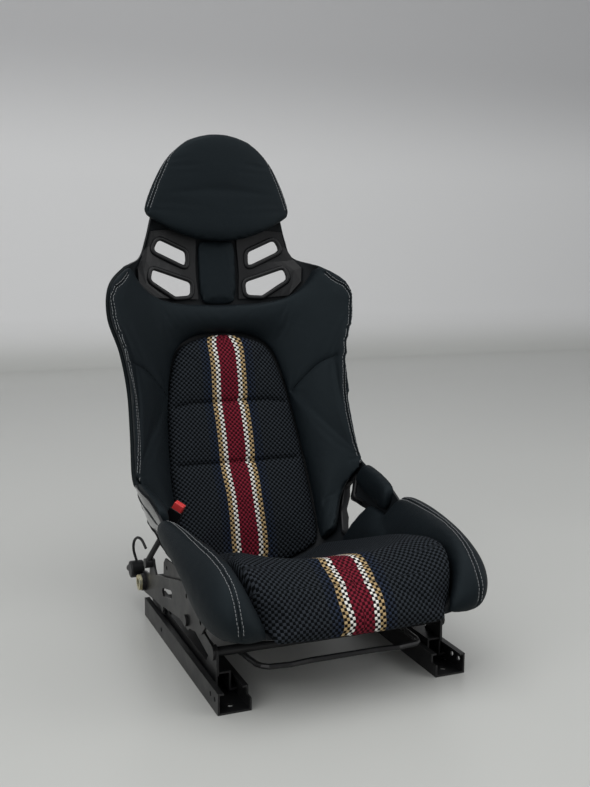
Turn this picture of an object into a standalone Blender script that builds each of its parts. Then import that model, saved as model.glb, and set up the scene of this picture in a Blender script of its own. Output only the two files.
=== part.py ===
"""Racing seat: a one-piece bucket shell with leather and woven covers, on a height linkage
and floor runners.

Metres, +Z up. The occupant faces -Y and the seat is symmetric about x = 0, apart from the
belt buckle and the height motor. The runners rest on z = 0. The shapes are worked out round
the bight, where back and seat meet, and one empty moves the whole seat so that the origin
lies under the middle of its box.
"""

import math

import bmesh
import bpy
from mathutils import Matrix, Vector

# ---- Driving dimensions -------------------------------------------------------------

ORIGIN_Y = 0.1390            # from the bight to the middle of the seat's box
GAP = 0.0003                 # air between pieces that touch

SHELL_WALL = 0.005           # laminate thickness
PAD_SEAT = -0.004            # a pad starts inside the laminate and is cut to the face

# The bucket, station by station from the top of the head section, down the back, round the
# bight and along the pan to the front lip. Each station has the middle of the shell's inner
# face (y, z), the half width of its flat part, and the rim (x, y, z).
SHELL_STATIONS = (
    ((0.236, 0.956), 0.025, (0.050, 0.236, 0.947)),
    ((0.243, 0.915), 0.060, (0.096, 0.236, 0.905)),
    ((0.246, 0.860), 0.080, (0.128, 0.233, 0.850)),
    ((0.246, 0.800), 0.090, (0.144, 0.230, 0.792)),
    ((0.244, 0.745), 0.100, (0.157, 0.228, 0.742)),
    ((0.240, 0.700), 0.110, (0.173, 0.220, 0.704)),
    ((0.234, 0.655), 0.120, (0.214, 0.170, 0.684)),
    ((0.227, 0.610), 0.130, (0.257, 0.120, 0.648)),
    ((0.218, 0.560), 0.130, (0.262, 0.110, 0.588)),
    ((0.206, 0.505), 0.130, (0.241, 0.100, 0.518)),
    ((0.186, 0.435), 0.130, (0.230, 0.085, 0.440)),
    ((0.158, 0.355), 0.130, (0.232, 0.055, 0.356)),
    ((0.122, 0.270), 0.130, (0.240, 0.012, 0.292)),
    ((0.082, 0.180), 0.125, (0.243, -0.022, 0.274)),
    ((0.042, 0.100), 0.120, (0.243, -0.052, 0.270)),
    ((-0.005, 0.050), 0.120, (0.242, -0.082, 0.268)),
    ((-0.070, 0.038), 0.120, (0.240, -0.115, 0.265)),
    ((-0.150, 0.052), 0.125, (0.237, -0.160, 0.252)),
    ((-0.240, 0.078), 0.130, (0.233, -0.235, 0.224)),
    ((-0.330, 0.100), 0.130, (0.230, -0.325, 0.212)),
    ((-0.415, 0.119), 0.130, (0.224, -0.405, 0.200)),
    ((-0.476, 0.131), 0.130, (0.209, -0.468, 0.176)),
    ((-0.500, 0.134), 0.125, (0.195, -0.494, 0.155)),
    ((-0.508, 0.128), 0.120, (0.182, -0.505, 0.138)),
)
BIGHT_STATION = 15           # the lowest station of the back
# The control point that bends a side: its share of the rim's x, and of the rise to the rim.
SIDE_BEND_BACK = (0.88, 0.26)    # flat back with wings at its sides
SIDE_BEND_PAN = (0.96, 0.50)     # upright hip and thigh sides

# Belt slots
HARNESS_SLOTS = (            # (x, z) corners on the right-hand side, top to bottom
    ((0.133, 0.746), (0.149, 0.717), (0.067, 0.679), (0.068, 0.717)),
    ((0.152, 0.683), (0.159, 0.655), (0.100, 0.617), (0.061, 0.619), (0.059, 0.652)),
)
HARNESS_CORNER = 0.009
LAP_SLOT = (                 # (y, z) corners, up between the back cover and the hip panel
    (-0.006, 0.250), (0.012, 0.226), (-0.010, 0.178), (-0.043, 0.143), (-0.086, 0.138),
    (-0.097, 0.172), (-0.110, 0.199), (-0.060, 0.202), (-0.020, 0.206),
)
LAP_CORNER = 0.010
BEZEL_WALL = 0.0075
BEZEL_LIP = 0.0025           # how far a bezel reaches into its slot

# Head pad outline: half width, height in the middle, height at the side, from top to bottom
HEAD_PAD_ROWS = (
    (0.072, 0.966, 0.948),
    (0.108, 0.936, 0.922),
    (0.133, 0.885, 0.882),
    (0.151, 0.830, 0.842),
    (0.162, 0.775, 0.812),
    (0.164, 0.735, 0.795),
)
HEAD_PAD_BACK_Y = 0.2335
HEAD_PAD_THICK = 0.030

# Runners
RAIL_X = 0.197
RAIL_WIDTH = 0.057
RAIL_HEIGHT = 0.036
RAIL_SHEET = 0.003
RAIL_LIP = 0.010
RAIL_FRONT = -0.462
RAIL_REAR = 0.006
UPPER_FRONT = -0.405
UPPER_REAR = 0.004
UPPER_TOP = 0.046
UPPER_HAT = 0.026
UPPER_FOOT = 0.046
UPPER_BASE = 0.0125
LOCK_PITCH = 0.033
LOCK_COUNT = 9

# Height linkage: two equal rockers on each side, (y, z)
REAR_RAIL_PIVOT = (-0.098, 0.050)
FRONT_RAIL_PIVOT = (-0.396, 0.078)
ROCKER_REACH = (0.106, 0.018)
TORQUE_TUBE = (0.047, 0.055)
TORQUE_TUBE_R = 0.011
CROSS_TUBE_R = 0.008
EAR_X = 0.2085               # middle of each layer of the linkage
ROCKER_X = 0.2135
PLATE_X = 0.2225
PLATE_SHEET = 0.004
ADAPTER_X = 0.2182
ADAPTER_SHEET = 0.0028
PIVOT_R = 0.006
PIVOT_PLAY = 0.0004

# Belt buckle, on the occupant's right
BUCKLE_ANCHOR = (-0.2355, -0.052, 0.126)
BUCKLE_MOUTH = (-0.1832, -0.088, 0.2370)
BUCKLE_SIZE = (0.026, 0.021, 0.050)
BUTTON_SIZE = (0.020, 0.016, 0.020)
BUTTON_PROUD = 0.013

# Release bar under the front of the pan
BAR_PIVOT = (-0.352, 0.058)
BAR_FRONT = (-0.450, 0.063)
BAR_R = 0.005


# ---- Scene ---------------------------------------------------------------------------

def clear_scene():
    for thing in list(bpy.data.objects):
        bpy.data.objects.remove(thing, do_unlink=True)


def new_collection(name):
    collection = bpy.data.collections.new(name)
    bpy.context.scene.collection.children.link(collection)
    return collection


clear_scene()
SEAT = new_collection("racing_seat")
CUTTERS = new_collection("cutters")


def empty(name, parent=None, at=(0.0, 0.0, 0.0)):
    """An empty at a world place, which carries one moving body."""
    frame = bpy.data.objects.new(name, None)
    frame.empty_display_size = 0.03
    SEAT.objects.link(frame)
    frame.parent = parent
    frame.location = Vector(at) - (ROOT_OF[parent] if parent else Vector())
    ROOT_OF[frame] = Vector(at)
    return frame


ROOT_OF = {}


def material(name, colour, roughness, metallic=0.0):
    made = bpy.data.materials.new(name)
    made.use_nodes = True
    surface = made.node_tree.nodes["Principled BSDF"]
    surface.inputs["Base Color"].default_value = (*colour, 1.0)
    surface.inputs["Roughness"].default_value = roughness
    surface.inputs["Metallic"].default_value = metallic
    return made


LEATHER = ((0.018, 0.019, 0.021), 0.55, 0.0)
WEAVE = ((0.025, 0.028, 0.034), 0.85, 0.0)
LAMINATE = ((0.012, 0.012, 0.013), 0.15, 0.0)
MOULDED = ((0.010, 0.010, 0.011), 0.35, 0.0)
STEEL = ((0.020, 0.020, 0.021), 0.40, 0.6)
ZINC = ((0.62, 0.55, 0.30), 0.35, 1.0)
BUCKLE_RED = ((0.55, 0.04, 0.04), 0.35, 0.0)


PAD_CREASE = 0.45            # how crisp a pad's outline stays


def finish(thing, body, look, smooth=math.radians(35)):
    """Gives a piece its material, its shading and the empty that carries it."""
    if not thing.data.materials:
        thing.data.materials.append(material(thing.name, *look))
    if smooth is not None and thing.type == "MESH":
        thing.data.shade_smooth()
        thing.data.set_sharp_from_angle(angle=smooth)
    thing.parent = body
    thing.matrix_parent_inverse = Matrix.Translation(-ROOT_OF[body])
    return thing


# ---- Shapes --------------------------------------------------------------------------

def mesh_object(name, mesh_data, collection=SEAT):
    thing = bpy.data.objects.new(name, mesh_data)
    collection.objects.link(thing)
    return thing


def from_bmesh(name, shape, collection=SEAT):
    bmesh.ops.recalc_face_normals(shape, faces=shape.faces)
    data = bpy.data.meshes.new(name)
    shape.to_mesh(data)
    shape.free()
    return mesh_object(name, data, collection)


def evaluated_mesh(thing):
    """The object's shape with its modifiers, as a mesh of its own; the object is removed."""
    graph = bpy.context.evaluated_depsgraph_get()
    graph.update()
    name = thing.name
    data = bpy.data.meshes.new_from_object(thing.evaluated_get(graph))
    matrix = thing.matrix_world.copy()
    shape = bmesh.new()
    shape.from_mesh(data)
    bmesh.ops.transform(shape, matrix=matrix, verts=shape.verts)
    bmesh.ops.remove_doubles(shape, verts=shape.verts, dist=0.000002)
    bpy.data.objects.remove(thing, do_unlink=True)
    return name, shape


def plate_from_outline(name, outline, axis, middle, thickness, holes=(), collection=SEAT):
    """A flat outline with its holes, extruded along X or Y. The outline is (y, z) for a
    plate across X and (x, z) for one across Y; middle is its place on that axis."""
    curve = bpy.data.curves.new(name, "CURVE")
    curve.dimensions = "2D"
    curve.fill_mode = "BOTH"
    curve.extrude = thickness / 2
    for loop in (outline, *holes):
        spline = curve.splines.new("POLY")
        spline.points.add(len(loop) - 1)
        for point, (a, b) in zip(spline.points, loop):
            point.co = (a, b, 0.0, 1.0)
        spline.use_cyclic_u = True
    flat = mesh_object(name, curve, collection)
    if axis == "X":
        turn = Matrix(((0, 0, 1), (1, 0, 0), (0, 1, 0))).to_4x4()
        flat.matrix_world = Matrix.Translation((middle, 0, 0)) @ turn
    else:
        turn = Matrix(((1, 0, 0), (0, 0, -1), (0, 1, 0))).to_4x4()
        flat.matrix_world = Matrix.Translation((0, middle, 0)) @ turn
    bpy.context.view_layer.update()
    return from_bmesh(*evaluated_mesh(flat), collection)


def circle(centre, radius, count=16):
    return [
        (centre[0] + radius * math.cos(math.tau * i / count),
         centre[1] + radius * math.sin(math.tau * i / count))
        for i in range(count)
    ]


def rounded(corners, radius, steps=2):
    """A closed outline whose corners are arcs."""
    points = []
    count = len(corners)
    for i in range(count):
        here = Vector(corners[i])
        before = (Vector(corners[i - 1]) - here)
        after = (Vector(corners[(i + 1) % count]) - here)
        half = before.angle(after) / 2
        run = min(radius / math.tan(half), 0.45 * before.length, 0.45 * after.length)
        start = here + before.normalized() * run
        end = here + after.normalized() * run
        for k in range(steps + 1):
            t = k / steps
            points.append(tuple((1 - t) ** 2 * start + 2 * (1 - t) * t * here + t * t * end))
    return points


def widened(corners, margin):
    """A closed polygon with every side moved outwards by a margin."""
    count = len(corners)
    area = sum(a[0] * b[1] - a[1] * b[0] for a, b in zip(corners, corners[1:] + corners[:1]))
    turn = 1.0 if area > 0 else -1.0
    grown = []
    for i in range(count):
        here = Vector(corners[i])
        first = (here - Vector(corners[i - 1])).normalized()
        second = (Vector(corners[(i + 1) % count]) - here).normalized()
        normal = turn * Vector((first.y + second.y, -first.x - second.x)).normalized()
        lean = normal.dot(turn * Vector((first.y, -first.x)))
        grown.append(tuple(here + normal * (margin / max(lean, 0.5))))
    return grown


def oblong(middle, length, width, tilt, steps=6):
    """The outline of a slot with round ends."""
    radius = width / 2
    run = length / 2 - radius
    points = []
    for end in (0, 1):
        for k in range(steps + 1):
            angle = tilt - math.pi / 2 + math.pi * end + math.pi * k / steps
            shift = run if end == 0 else -run
            points.append((
                middle[0] + shift * math.cos(tilt) + radius * math.cos(angle),
                middle[1] + shift * math.sin(tilt) + radius * math.sin(angle),
            ))
    return points


def hull_outline(circles, count=12):
    """The outline that a belt would take round some circles (y, z, radius)."""
    points = [p for y, z, r in circles for p in circle((y, z), r, count)]
    points.sort()
    chains = []
    for run in (points, points[::-1]):
        chain = []
        for p in run:
            while len(chain) > 1 and (
                (chain[-1][0] - chain[-2][0]) * (p[1] - chain[-2][1])
                - (chain[-1][1] - chain[-2][1]) * (p[0] - chain[-2][0])
            ) <= 1e-9:
                chain.pop()
            chain.append(p)
        chains.append(chain[:-1])
    return chains[0] + chains[1]


def cylinder(name, start, end, radius, sides=20, collection=SEAT, radius_end=None):
    start = Vector(start)
    end = Vector(end)
    shape = bmesh.new()
    bmesh.ops.create_cone(
        shape, cap_ends=True, segments=sides, radius1=radius,
        radius2=radius if radius_end is None else radius_end, depth=(end - start).length,
    )
    turn = (end - start).to_track_quat("Z", "Y").to_matrix().to_4x4()
    bmesh.ops.transform(
        shape, matrix=Matrix.Translation((start + end) / 2) @ turn, verts=shape.verts
    )
    return from_bmesh(name, shape, collection)


def box(name, low, high, collection=SEAT):
    low = Vector(low)
    high = Vector(high)
    size = high - low
    shape = bmesh.new()
    bmesh.ops.create_cube(shape, size=1.0)
    bmesh.ops.scale(shape, vec=size, verts=shape.verts)
    bmesh.ops.translate(shape, vec=(low + high) / 2, verts=shape.verts)
    return from_bmesh(name, shape, collection)


def tube(name, route, radius, sides_resolution=3, steps=4, collection=SEAT):
    """A round rod along a route whose bends are Bezier curves."""
    curve = bpy.data.curves.new(name, "CURVE")
    curve.dimensions = "3D"
    curve.bevel_depth = radius
    curve.bevel_resolution = sides_resolution
    curve.resolution_u = steps
    curve.use_fill_caps = True
    spline = curve.splines.new("BEZIER")
    spline.bezier_points.add(len(route) - 1)
    for point, place in zip(spline.bezier_points, route):
        point.co = place
        point.handle_left_type = "AUTO"
        point.handle_right_type = "AUTO"
    rod = mesh_object(name, curve, collection)
    bpy.context.view_layer.update()
    return from_bmesh(*evaluated_mesh(rod), collection)


def modifier_boolean(target, cutter, operation):
    step = target.modifiers.new(cutter.name, "BOOLEAN")
    step.operation = operation
    step.object = cutter
    step.solver = "EXACT"
    cutter.hide_render = True
    cutter.display_type = "WIRE"


def cut(target, *cutters):
    for cutter in cutters:
        modifier_boolean(target, cutter, "DIFFERENCE")
    return target


def join(target, *extras):
    for extra in extras:
        modifier_boolean(target, extra, "UNION")
    return target


def soften(thing, width, segments=2, angle=math.radians(40)):
    step = thing.modifiers.new("edges", "BEVEL")
    step.width = width
    step.segments = segments
    step.limit_method = "ANGLE"
    step.angle_limit = angle
    return thing


# ---- The bucket ----------------------------------------------------------------------

def between(values, place):
    """A smooth curve through equally spaced values, at a fractional place."""
    place = min(max(place, 0.0), len(values) - 1.0)
    i = min(int(place), len(values) - 2)
    t = place - i
    p1 = Vector(values[i])
    p2 = Vector(values[i + 1])
    p0 = Vector(values[i - 1]) if i > 0 else 2 * p1 - p2
    p3 = Vector(values[i + 2]) if i + 2 < len(values) else 2 * p2 - p1
    return 0.5 * (
        2 * p1 + (p2 - p0) * t + (2 * p0 - 5 * p1 + 4 * p2 - p3) * t * t
        + (3 * p1 - p0 - 3 * p2 + p3) * t ** 3
    )


MIDDLES = [(middle[0], middle[1], flat) for middle, flat, rim in SHELL_STATIONS]
RIMS = [rim for middle, flat, rim in SHELL_STATIONS]


def bucket(u, v):
    """A point of the shell's inner face: u runs along the stations, v from the middle
    plane (0) to the rim (1)."""
    cy, cz, flat = between(MIDDLES, u)
    rim = between(RIMS, u)
    blend = min(max((u - BIGHT_STATION + 4) / 4, 0.0), 1.0)
    reach, rise = (b + (p - b) * blend for b, p in zip(SIDE_BEND_BACK, SIDE_BEND_PAN))
    middle = Vector((0.0, cy, cz))
    inner = Vector((min(flat, 0.6 * rim.x), cy, cz))
    outer = Vector((reach * rim.x, cy + rise * (rim.y - cy), cz + rise * (rim.z - cz)))
    w = 1.0 - v
    return w ** 3 * middle + 3 * w * w * v * inner + 3 * w * v * v * outer + v ** 3 * rim


def facing(u, v):
    """The bucket's unit normal, towards the occupant."""
    step = 0.02
    last = len(SHELL_STATIONS) - 1
    along = bucket(min(u + step, last), v) - bucket(max(u - step, 0), v)
    across = bucket(u, v + step) - bucket(u, v - step if v > step else 0.0)
    normal = along.cross(across)
    if v == 0.0:
        normal.x = 0.0
    return normal.normalized()


def bucket_point(u, v, lift=0.0):
    return bucket(u, v) + lift * facing(u, v)


def spread(low, high, count):
    return [low + (high - low) * i / (count - 1) for i in range(count)]


def sheet(name, rows):
    """An open sheet of quads through rows of points."""
    shape = bmesh.new()
    grid = [[shape.verts.new(p) for p in row] for row in rows]
    for upper, lower in zip(grid, grid[1:]):
        for k in range(len(upper) - 1):
            shape.faces.new((upper[k], lower[k], lower[k + 1], upper[k + 1]))
    data = bpy.data.meshes.new(name)
    shape.to_mesh(data)
    shape.free()
    return mesh_object(name, data)


def mirrored(thing):
    step = thing.modifiers.new("other half", "MIRROR")
    step.use_axis[0] = True
    step.use_clip = True
    step.merge_threshold = 0.00005
    return thing


def thickened(thing, thickness):
    """Solidify towards the occupant."""
    step = thing.modifiers.new("thickness", "SOLIDIFY")
    step.thickness = thickness
    step.offset = 1.0
    step.use_even_offset = False
    return thing


def smoothed(thing, levels=1):
    step = thing.modifiers.new("roundness", "SUBSURF")
    step.levels = levels
    step.render_levels = levels
    return thing


# ---- Bodies --------------------------------------------------------------------------

def joint_place(x, pair):
    return (x, pair[0], pair[1])


REAR_PLATE_PIVOT = (REAR_RAIL_PIVOT[0] + ROCKER_REACH[0], REAR_RAIL_PIVOT[1] + ROCKER_REACH[1])
FRONT_PLATE_PIVOT = (FRONT_RAIL_PIVOT[0] + ROCKER_REACH[0], FRONT_RAIL_PIVOT[1] + ROCKER_REACH[1])

ORIGIN = empty("seat_origin")
ORIGIN.location.y = ORIGIN_Y
BODY_FLOOR = empty("body_floor_rails", ORIGIN)
BODY_SLIDER = empty("body_slider", BODY_FLOOR)
BODY_REAR = empty("body_rear_rocker", BODY_SLIDER, joint_place(0.0, REAR_RAIL_PIVOT))
BODY_FRONT = empty("body_front_rocker", BODY_SLIDER, joint_place(0.0, FRONT_RAIL_PIVOT))
BODY_SEAT = empty("body_seat", BODY_REAR, joint_place(0.0, REAR_PLATE_PIVOT))
BODY_BAR = empty("body_release_bar", BODY_SLIDER, joint_place(0.0, BAR_PIVOT))
BODY_BUCKLE = empty("body_buckle", BODY_SEAT, BUCKLE_ANCHOR)
BODY_BUTTON = empty("body_buckle_button", BODY_BUCKLE, BUCKLE_MOUTH)


# ---- Shell ---------------------------------------------------------------------------

def slot_cutters(prefix, margin):
    """Prisms through the head section for the four harness slots."""
    made = []
    for side, sign in (("right", 1), ("left", -1)):
        for level, corners in zip(("upper", "lower"), HARNESS_SLOTS):
            grown = [(sign * x, z) for x, z in widened(corners, margin)]
            outline = rounded(grown, HARNESS_CORNER)
            made.append(plate_from_outline(
                f"{prefix}_{level}_{side}", outline, "Y", 0.20, 0.16, (), CUTTERS))
    return made


def lap_cutters(prefix, margin):
    """Prisms through the hip sides for the lap-belt slots."""
    outline = rounded(widened(LAP_SLOT, margin), LAP_CORNER)
    return [
        plate_from_outline(f"{prefix}_{side}", outline, "X", sign * 0.215, 0.12, (), CUTTERS)
        for side, sign in (("right", 1), ("left", -1))
    ]


def laminate(name, wall, lift=0.0):
    """The whole bucket without its slots, as a wall of a given thickness whose inner face is
    lifted off the bucket's own."""
    last = len(SHELL_STATIONS) - 1
    stations = spread(0.0, 6.0, 6)[:-1] + spread(6.0, 18.0, 15)[:-1] + spread(18.0, last, 7)
    across = [0.0, 0.24, 0.44, 0.60, 0.74, 0.87, 1.0]
    shell = sheet(name, [[bucket_point(u, v, lift) for v in across] for u in stations])
    mirrored(shell)
    step = shell.modifiers.new("laminate", "SOLIDIFY")
    step.thickness = wall
    step.offset = -1.0
    step = shell.modifiers.new("facets", "TRIANGULATE")
    step.quad_method = "FIXED"
    return shell


def as_cutter(thing):
    SEAT.objects.unlink(thing)
    CUTTERS.objects.link(thing)
    return thing


def clearance(name, wall):
    """The bucket with air round it, which is cut out of everything that sits on it."""
    space = laminate(name, wall)
    step = space.modifiers.new("air", "DISPLACE")
    step.strength = SHELL_AIR
    step.mid_level = 0.0
    return as_cutter(space)


SHELL_AIR = 0.0006
CORE_WALL = 0.016            # a pad inside the bucket is cut with a thicker wall
CORE = clearance("bucket_core", CORE_WALL)
RIM_SLOT = clearance("rim_slot", SHELL_WALL)
BELT_BAND = as_cutter(laminate("belt_band", 0.010, 0.002))


def build_shell():
    shell = laminate("seat_shell", SHELL_WALL)
    cut(shell, *slot_cutters("harness_slot", 0.0015))
    cut(shell, *lap_cutters("lap_slot", 0.0015))
    for side, sign in (("right", 1), ("left", -1)):
        for place, (y, z) in zip(("front", "rear"), ADAPTER_BOLTS):
            boss = cylinder(
                f"shell_boss_{place}_{side}", (sign * boss_root(y, z), y, z),
                (sign * (ADAPTER_X - ADAPTER_SHEET / 2 - GAP), y, z), 0.010, 12, CUTTERS)
            join(shell, boss)
    finish(shell, BODY_SEAT, LAMINATE)
    return shell


ADAPTER_BOLTS = ((-0.330, 0.150), (-0.142, 0.142))


def boss_root(y, z):
    """Where a boss along X starts, inside the laminate at (y, z)."""
    best = None
    for i in range(1200, 2200):
        u = i / 100
        for k in range(40, 101, 2):
            point = bucket(u, k / 100)
            off = abs(point.y - y) + abs(point.z - z)
            if best is None or off < best[0]:
                best = (off, point.x)
    return best[1] + 0.002


# ---- Covers and pads -----------------------------------------------------------------

def pad_body(name, unders, tops, middle="column"):
    """A pad between two grids of points, the hidden one and the visible one. It is a half,
    open and mirrored where its first column or its first row lies in the middle plane."""
    shape = bmesh.new()
    crease = shape.edges.layers.float.new("crease_edge")
    grids = [
        [[shape.verts.new(p) for p in row] for row in rows]
        for rows in (unders, tops)
    ]
    for grid in grids:
        for upper, lower in zip(grid, grid[1:]):
            for k in range(len(upper) - 1):
                shape.faces.new((upper[k], lower[k], lower[k + 1], upper[k + 1]))
    under, top = grids
    last = len(under) - 1
    wide = len(under[0]) - 1
    rim = [(last, k, last, k + 1) for k in range(wide)]
    rim += [(j, wide, j + 1, wide) for j in range(last)]
    if middle == "column":
        rim += [(0, k, 0, k + 1) for k in range(wide)]
    else:
        rim += [(j, 0, j + 1, 0) for j in range(last)]
    for j, k, m, n in rim:
        shape.faces.new((under[j][k], under[m][n], top[m][n], top[j][k]))
        for grid in grids:
            shape.edges.get((grid[j][k], grid[m][n]))[crease] = PAD_CREASE
    return mirrored(from_bmesh(name, shape))


def build_head_pad():
    """The bell-shaped head pad, full at its lower edge and thin at the top."""
    across = [0.0, 0.35, 0.68, 0.92, 1.0]
    unders = []
    tops = []
    for j, (half, mid_z, side_z) in enumerate(HEAD_PAD_ROWS):
        down = j / (len(HEAD_PAD_ROWS) - 1)
        under = []
        top = []
        for s in across:
            z = mid_z + (side_z - mid_z) * s * s
            full = (0.72 + 0.28 * down) * (1.0 - 0.28 * s ** 6)
            under.append((half * s, HEAD_PAD_BACK_Y, z))
            top.append((half * s, HEAD_PAD_BACK_Y - HEAD_PAD_THICK * full, z))
        unders.append(under)
        tops.append(top)
    pad = pad_body("head_pad", unders, tops)
    smoothed(pad)
    cut(pad, CORE)
    finish(pad, BODY_SEAT, LEATHER)


def pad_patch(name, route, look, thickness, rise, middle="column"):
    """A pad on the bucket. The route is rows of (u, v, weight); rise gives the direction in
    which the pad stands off at (u, v)."""
    unders = [[bucket_point(u, v, PAD_SEAT) for u, v, weight in row] for row in route]
    tops = [[bucket(u, v) + thickness * weight * rise(u, v) for u, v, weight in row]
            for row in route]
    pad = pad_body(name, unders, tops, middle)
    smoothed(pad)
    cut(pad, CORE)
    return finish(pad, BODY_SEAT, look)


def forward_rise(u, v):
    """Square to the bucket in the middle, forward and a little outward at the wings."""
    turn = min(max((v - 0.45) / 0.40, 0.0), 1.0)
    rise = (1.0 - turn) * facing(u, v) + turn * WING_RISE
    if v == 0.0:
        rise.x = 0.0
    return rise.normalized()


def cushion_rise(u, v):
    return CUSHION_RISE


WING_RISE = Vector((0.16, -0.98, 0.12))
CUSHION_RISE = Vector((0.0, -0.10, 0.995))


def build_back_insert():
    """The woven middle of the back: an arch at the top and two sewn channels."""
    rows = []
    for u, half, height in INSERT_ROWS:
        arch = INSERT_ARCH if u == INSERT_ROWS[0][0] else 0.0
        rows.append([
            (u + arch * s * s, half * s, height * fall)
            for s, fall in ((0.0, 1.0), (0.45, 1.0), (0.84, 0.98), (1.0, 0.45))
        ])
    pad_patch("back_insert", rows, WEAVE, BACK_PAD, forward_rise)


BACK_PAD = 0.037
SEAM_GAP = 0.008             # between two covers, as a share of the bucket's half width
INSERT_ARCH = 0.22
INSERT_ROWS = (              # station, half width as v, height; channels are the low rows
    (8.45, 0.170, 0.50),
    (8.80, 0.262, 0.92),
    (9.25, 0.345, 1.00),
    (10.45, 0.440, 0.98),
    (10.58, 0.446, 0.66),
    (10.71, 0.450, 0.98),
    (11.90, 0.470, 0.98),
    (12.05, 0.472, 0.66),
    (12.20, 0.473, 0.96),
    (13.30, 0.475, 0.90),
    (14.70, 0.455, 0.40),
)


def insert_half(u):
    """Half width of the woven insert at a station, as v."""
    for (u0, v0, _), (u1, v1, _) in zip(INSERT_ROWS, INSERT_ROWS[1:]):
        if u0 <= u <= u1:
            return v0 + (v1 - v0) * (u - u0) / (u1 - u0)
    return INSERT_ROWS[-1][1]


def build_back_cover():
    """The leather surround of the back with its shoulder wings, round the arched insert."""
    rows = []
    for inner_u, inner_v, outer_u, outer_v in COVER_LINES:
        if inner_v is None:
            inner_v = insert_half(inner_u) + SEAM_GAP
        row = []
        for t, weight in ((0.0, 0.45), (0.16, 0.98), (0.80, 1.04), (1.0, 0.97)):
            if outer_v < 0.8 and inner_u > 12:
                weight *= 0.72
            row.append((inner_u + (outer_u - inner_u) * t,
                        inner_v + (outer_v - inner_v) * t, weight))
        rows.append(row)
    pad_patch("back_cover", rows, LEATHER, BACK_PAD, forward_rise, "row")


COVER_LINES = (              # from the insert's edge (u, v) to the cover's edge (u, v)
    (8.38, 0.000, 7.28, 0.000),
    (8.41, 0.110, 7.26, 0.220),
    (8.58, 0.205, 7.15, 0.460),
    (8.80, 0.271, 6.55, 0.660),
    (8.98, 0.305, 5.98, 0.840),
    (9.12, 0.330, 5.86, 0.950),
    (9.30, 0.358, 6.12, 1.000),
    (9.75, 0.400, 7.00, 1.000),
    (10.30, None, 8.30, 1.000),
    (10.90, None, 9.40, 1.000),
    (12.30, None, 11.80, 1.000),
    (13.00, None, 12.55, 0.930),
    (13.60, None, 13.05, 0.720),
    (14.20, None, 14.00, 0.640),
    (14.80, None, 14.80, 0.575),
)


def build_spine_pad():
    rows = [
        [(u, v * half, weight) for v in (0.0, 0.6, 1.0)]
        for u, half, weight in ((4.10, 0.160, 0.9), (4.9, 0.150, 1.0), (5.8, 0.128, 1.0),
                                (7.18, 0.110, 0.9))
    ]
    pad_patch("spine_pad", rows, LEATHER, 0.012, facing)


def build_bezels():
    cutters = slot_cutters("bezel_slot", -BEZEL_LIP)
    for side, sign in (("right", 1), ("left", -1)):
        rows = []
        for u, v_in, v_out in ((3.65, 0.19, 0.95), (4.4, 0.178, 0.95), (5.2, 0.168, 0.94),
                               (5.80, 0.152, 0.82), (6.4, 0.135, 0.66), (6.95, 0.125, 0.48)):
            row = [bucket_point(u, v, PAD_SEAT) for v in spread(v_in, v_out, 7)]
            row = [(sign * p.x, p.y, p.z) for p in row]
            rows.append(row if sign == 1 else row[::-1])
        bezel = sheet(f"harness_bezel_{side}", rows)
        thickened(bezel, BEZEL_WALL - PAD_SEAT)
        cut(bezel, CORE)
        for cutter in cutters:
            if cutter.name.endswith(side):
                cut(bezel, cutter)
        finish(bezel, BODY_SEAT, MOULDED)


def saddle(name, sign, rings):
    """A pad that sits astride the shell's rim: rings of points joined along their length."""
    shape = bmesh.new()
    loops = [[shape.verts.new((sign * p[0], p[1], p[2])) for p in ring] for ring in rings]
    for first, second in zip(loops, loops[1:]):
        for k in range(len(first)):
            j = (k + 1) % len(first)
            shape.faces.new((first[k], first[j], second[j], second[k]))
    shape.faces.new(loops[0])
    shape.faces.new(loops[-1])
    pad = from_bmesh(name, shape)
    smoothed(pad)
    step = pad.modifiers.new("facets", "TRIANGULATE")
    step.quad_method = "FIXED"
    cut(pad, RIM_SLOT)
    return pad


OUT = Vector((1.0, 0.0, 0.0))
UP = Vector((0.0, 0.0, 1.0))


def build_hip_caps():
    """Caps over the shell's edge above the lap-belt slots."""
    rings = []
    for u, swell in HIP_CAP_RINGS:
        rim = bucket(u, 1.0)
        foot = bucket(u, 0.855)
        rings.append([
            foot - 0.012 * swell * OUT, rim - 0.022 * swell * OUT - 0.006 * UP,
            rim - 0.014 * swell * OUT + 0.010 * swell * UP,
            rim + 0.004 * OUT + 0.012 * swell * UP,
            rim + 0.012 * OUT + 0.004 * UP, rim + 0.0115 * OUT - 0.012 * UP,
            foot + 0.003 * OUT,
        ])
    for side, sign in (("right", 1), ("left", -1)):
        finish(saddle(f"hip_cap_{side}", sign, rings), BODY_SEAT, LEATHER)


HIP_CAP_RINGS = ((13.25, 0.8), (13.55, 1.0), (15.2, 1.05), (16.8, 1.1), (17.1, 0.9))


def build_lap_bezels():
    """Deep moulded sleeves through the lap-belt slots."""
    outer = rounded(widened(LAP_SLOT, -0.0004), LAP_CORNER)
    inner = rounded(widened(LAP_SLOT, -0.0034), LAP_CORNER)
    for side, sign in (("right", 1), ("left", -1)):
        bezel = plate_from_outline(f"lap_slot_bezel_{side}", outer, "X", sign * 0.215, 0.12,
                                   [inner])
        modifier_boolean(bezel, BELT_BAND, "INTERSECT")
        if sign < 0:
            cut(bezel, cylinder("stalk_notch", BUCKLE_ANCHOR, BUCKLE_MOUTH, 0.0085, 12, CUTTERS))
        finish(bezel, BODY_SEAT, MOULDED)


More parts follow.
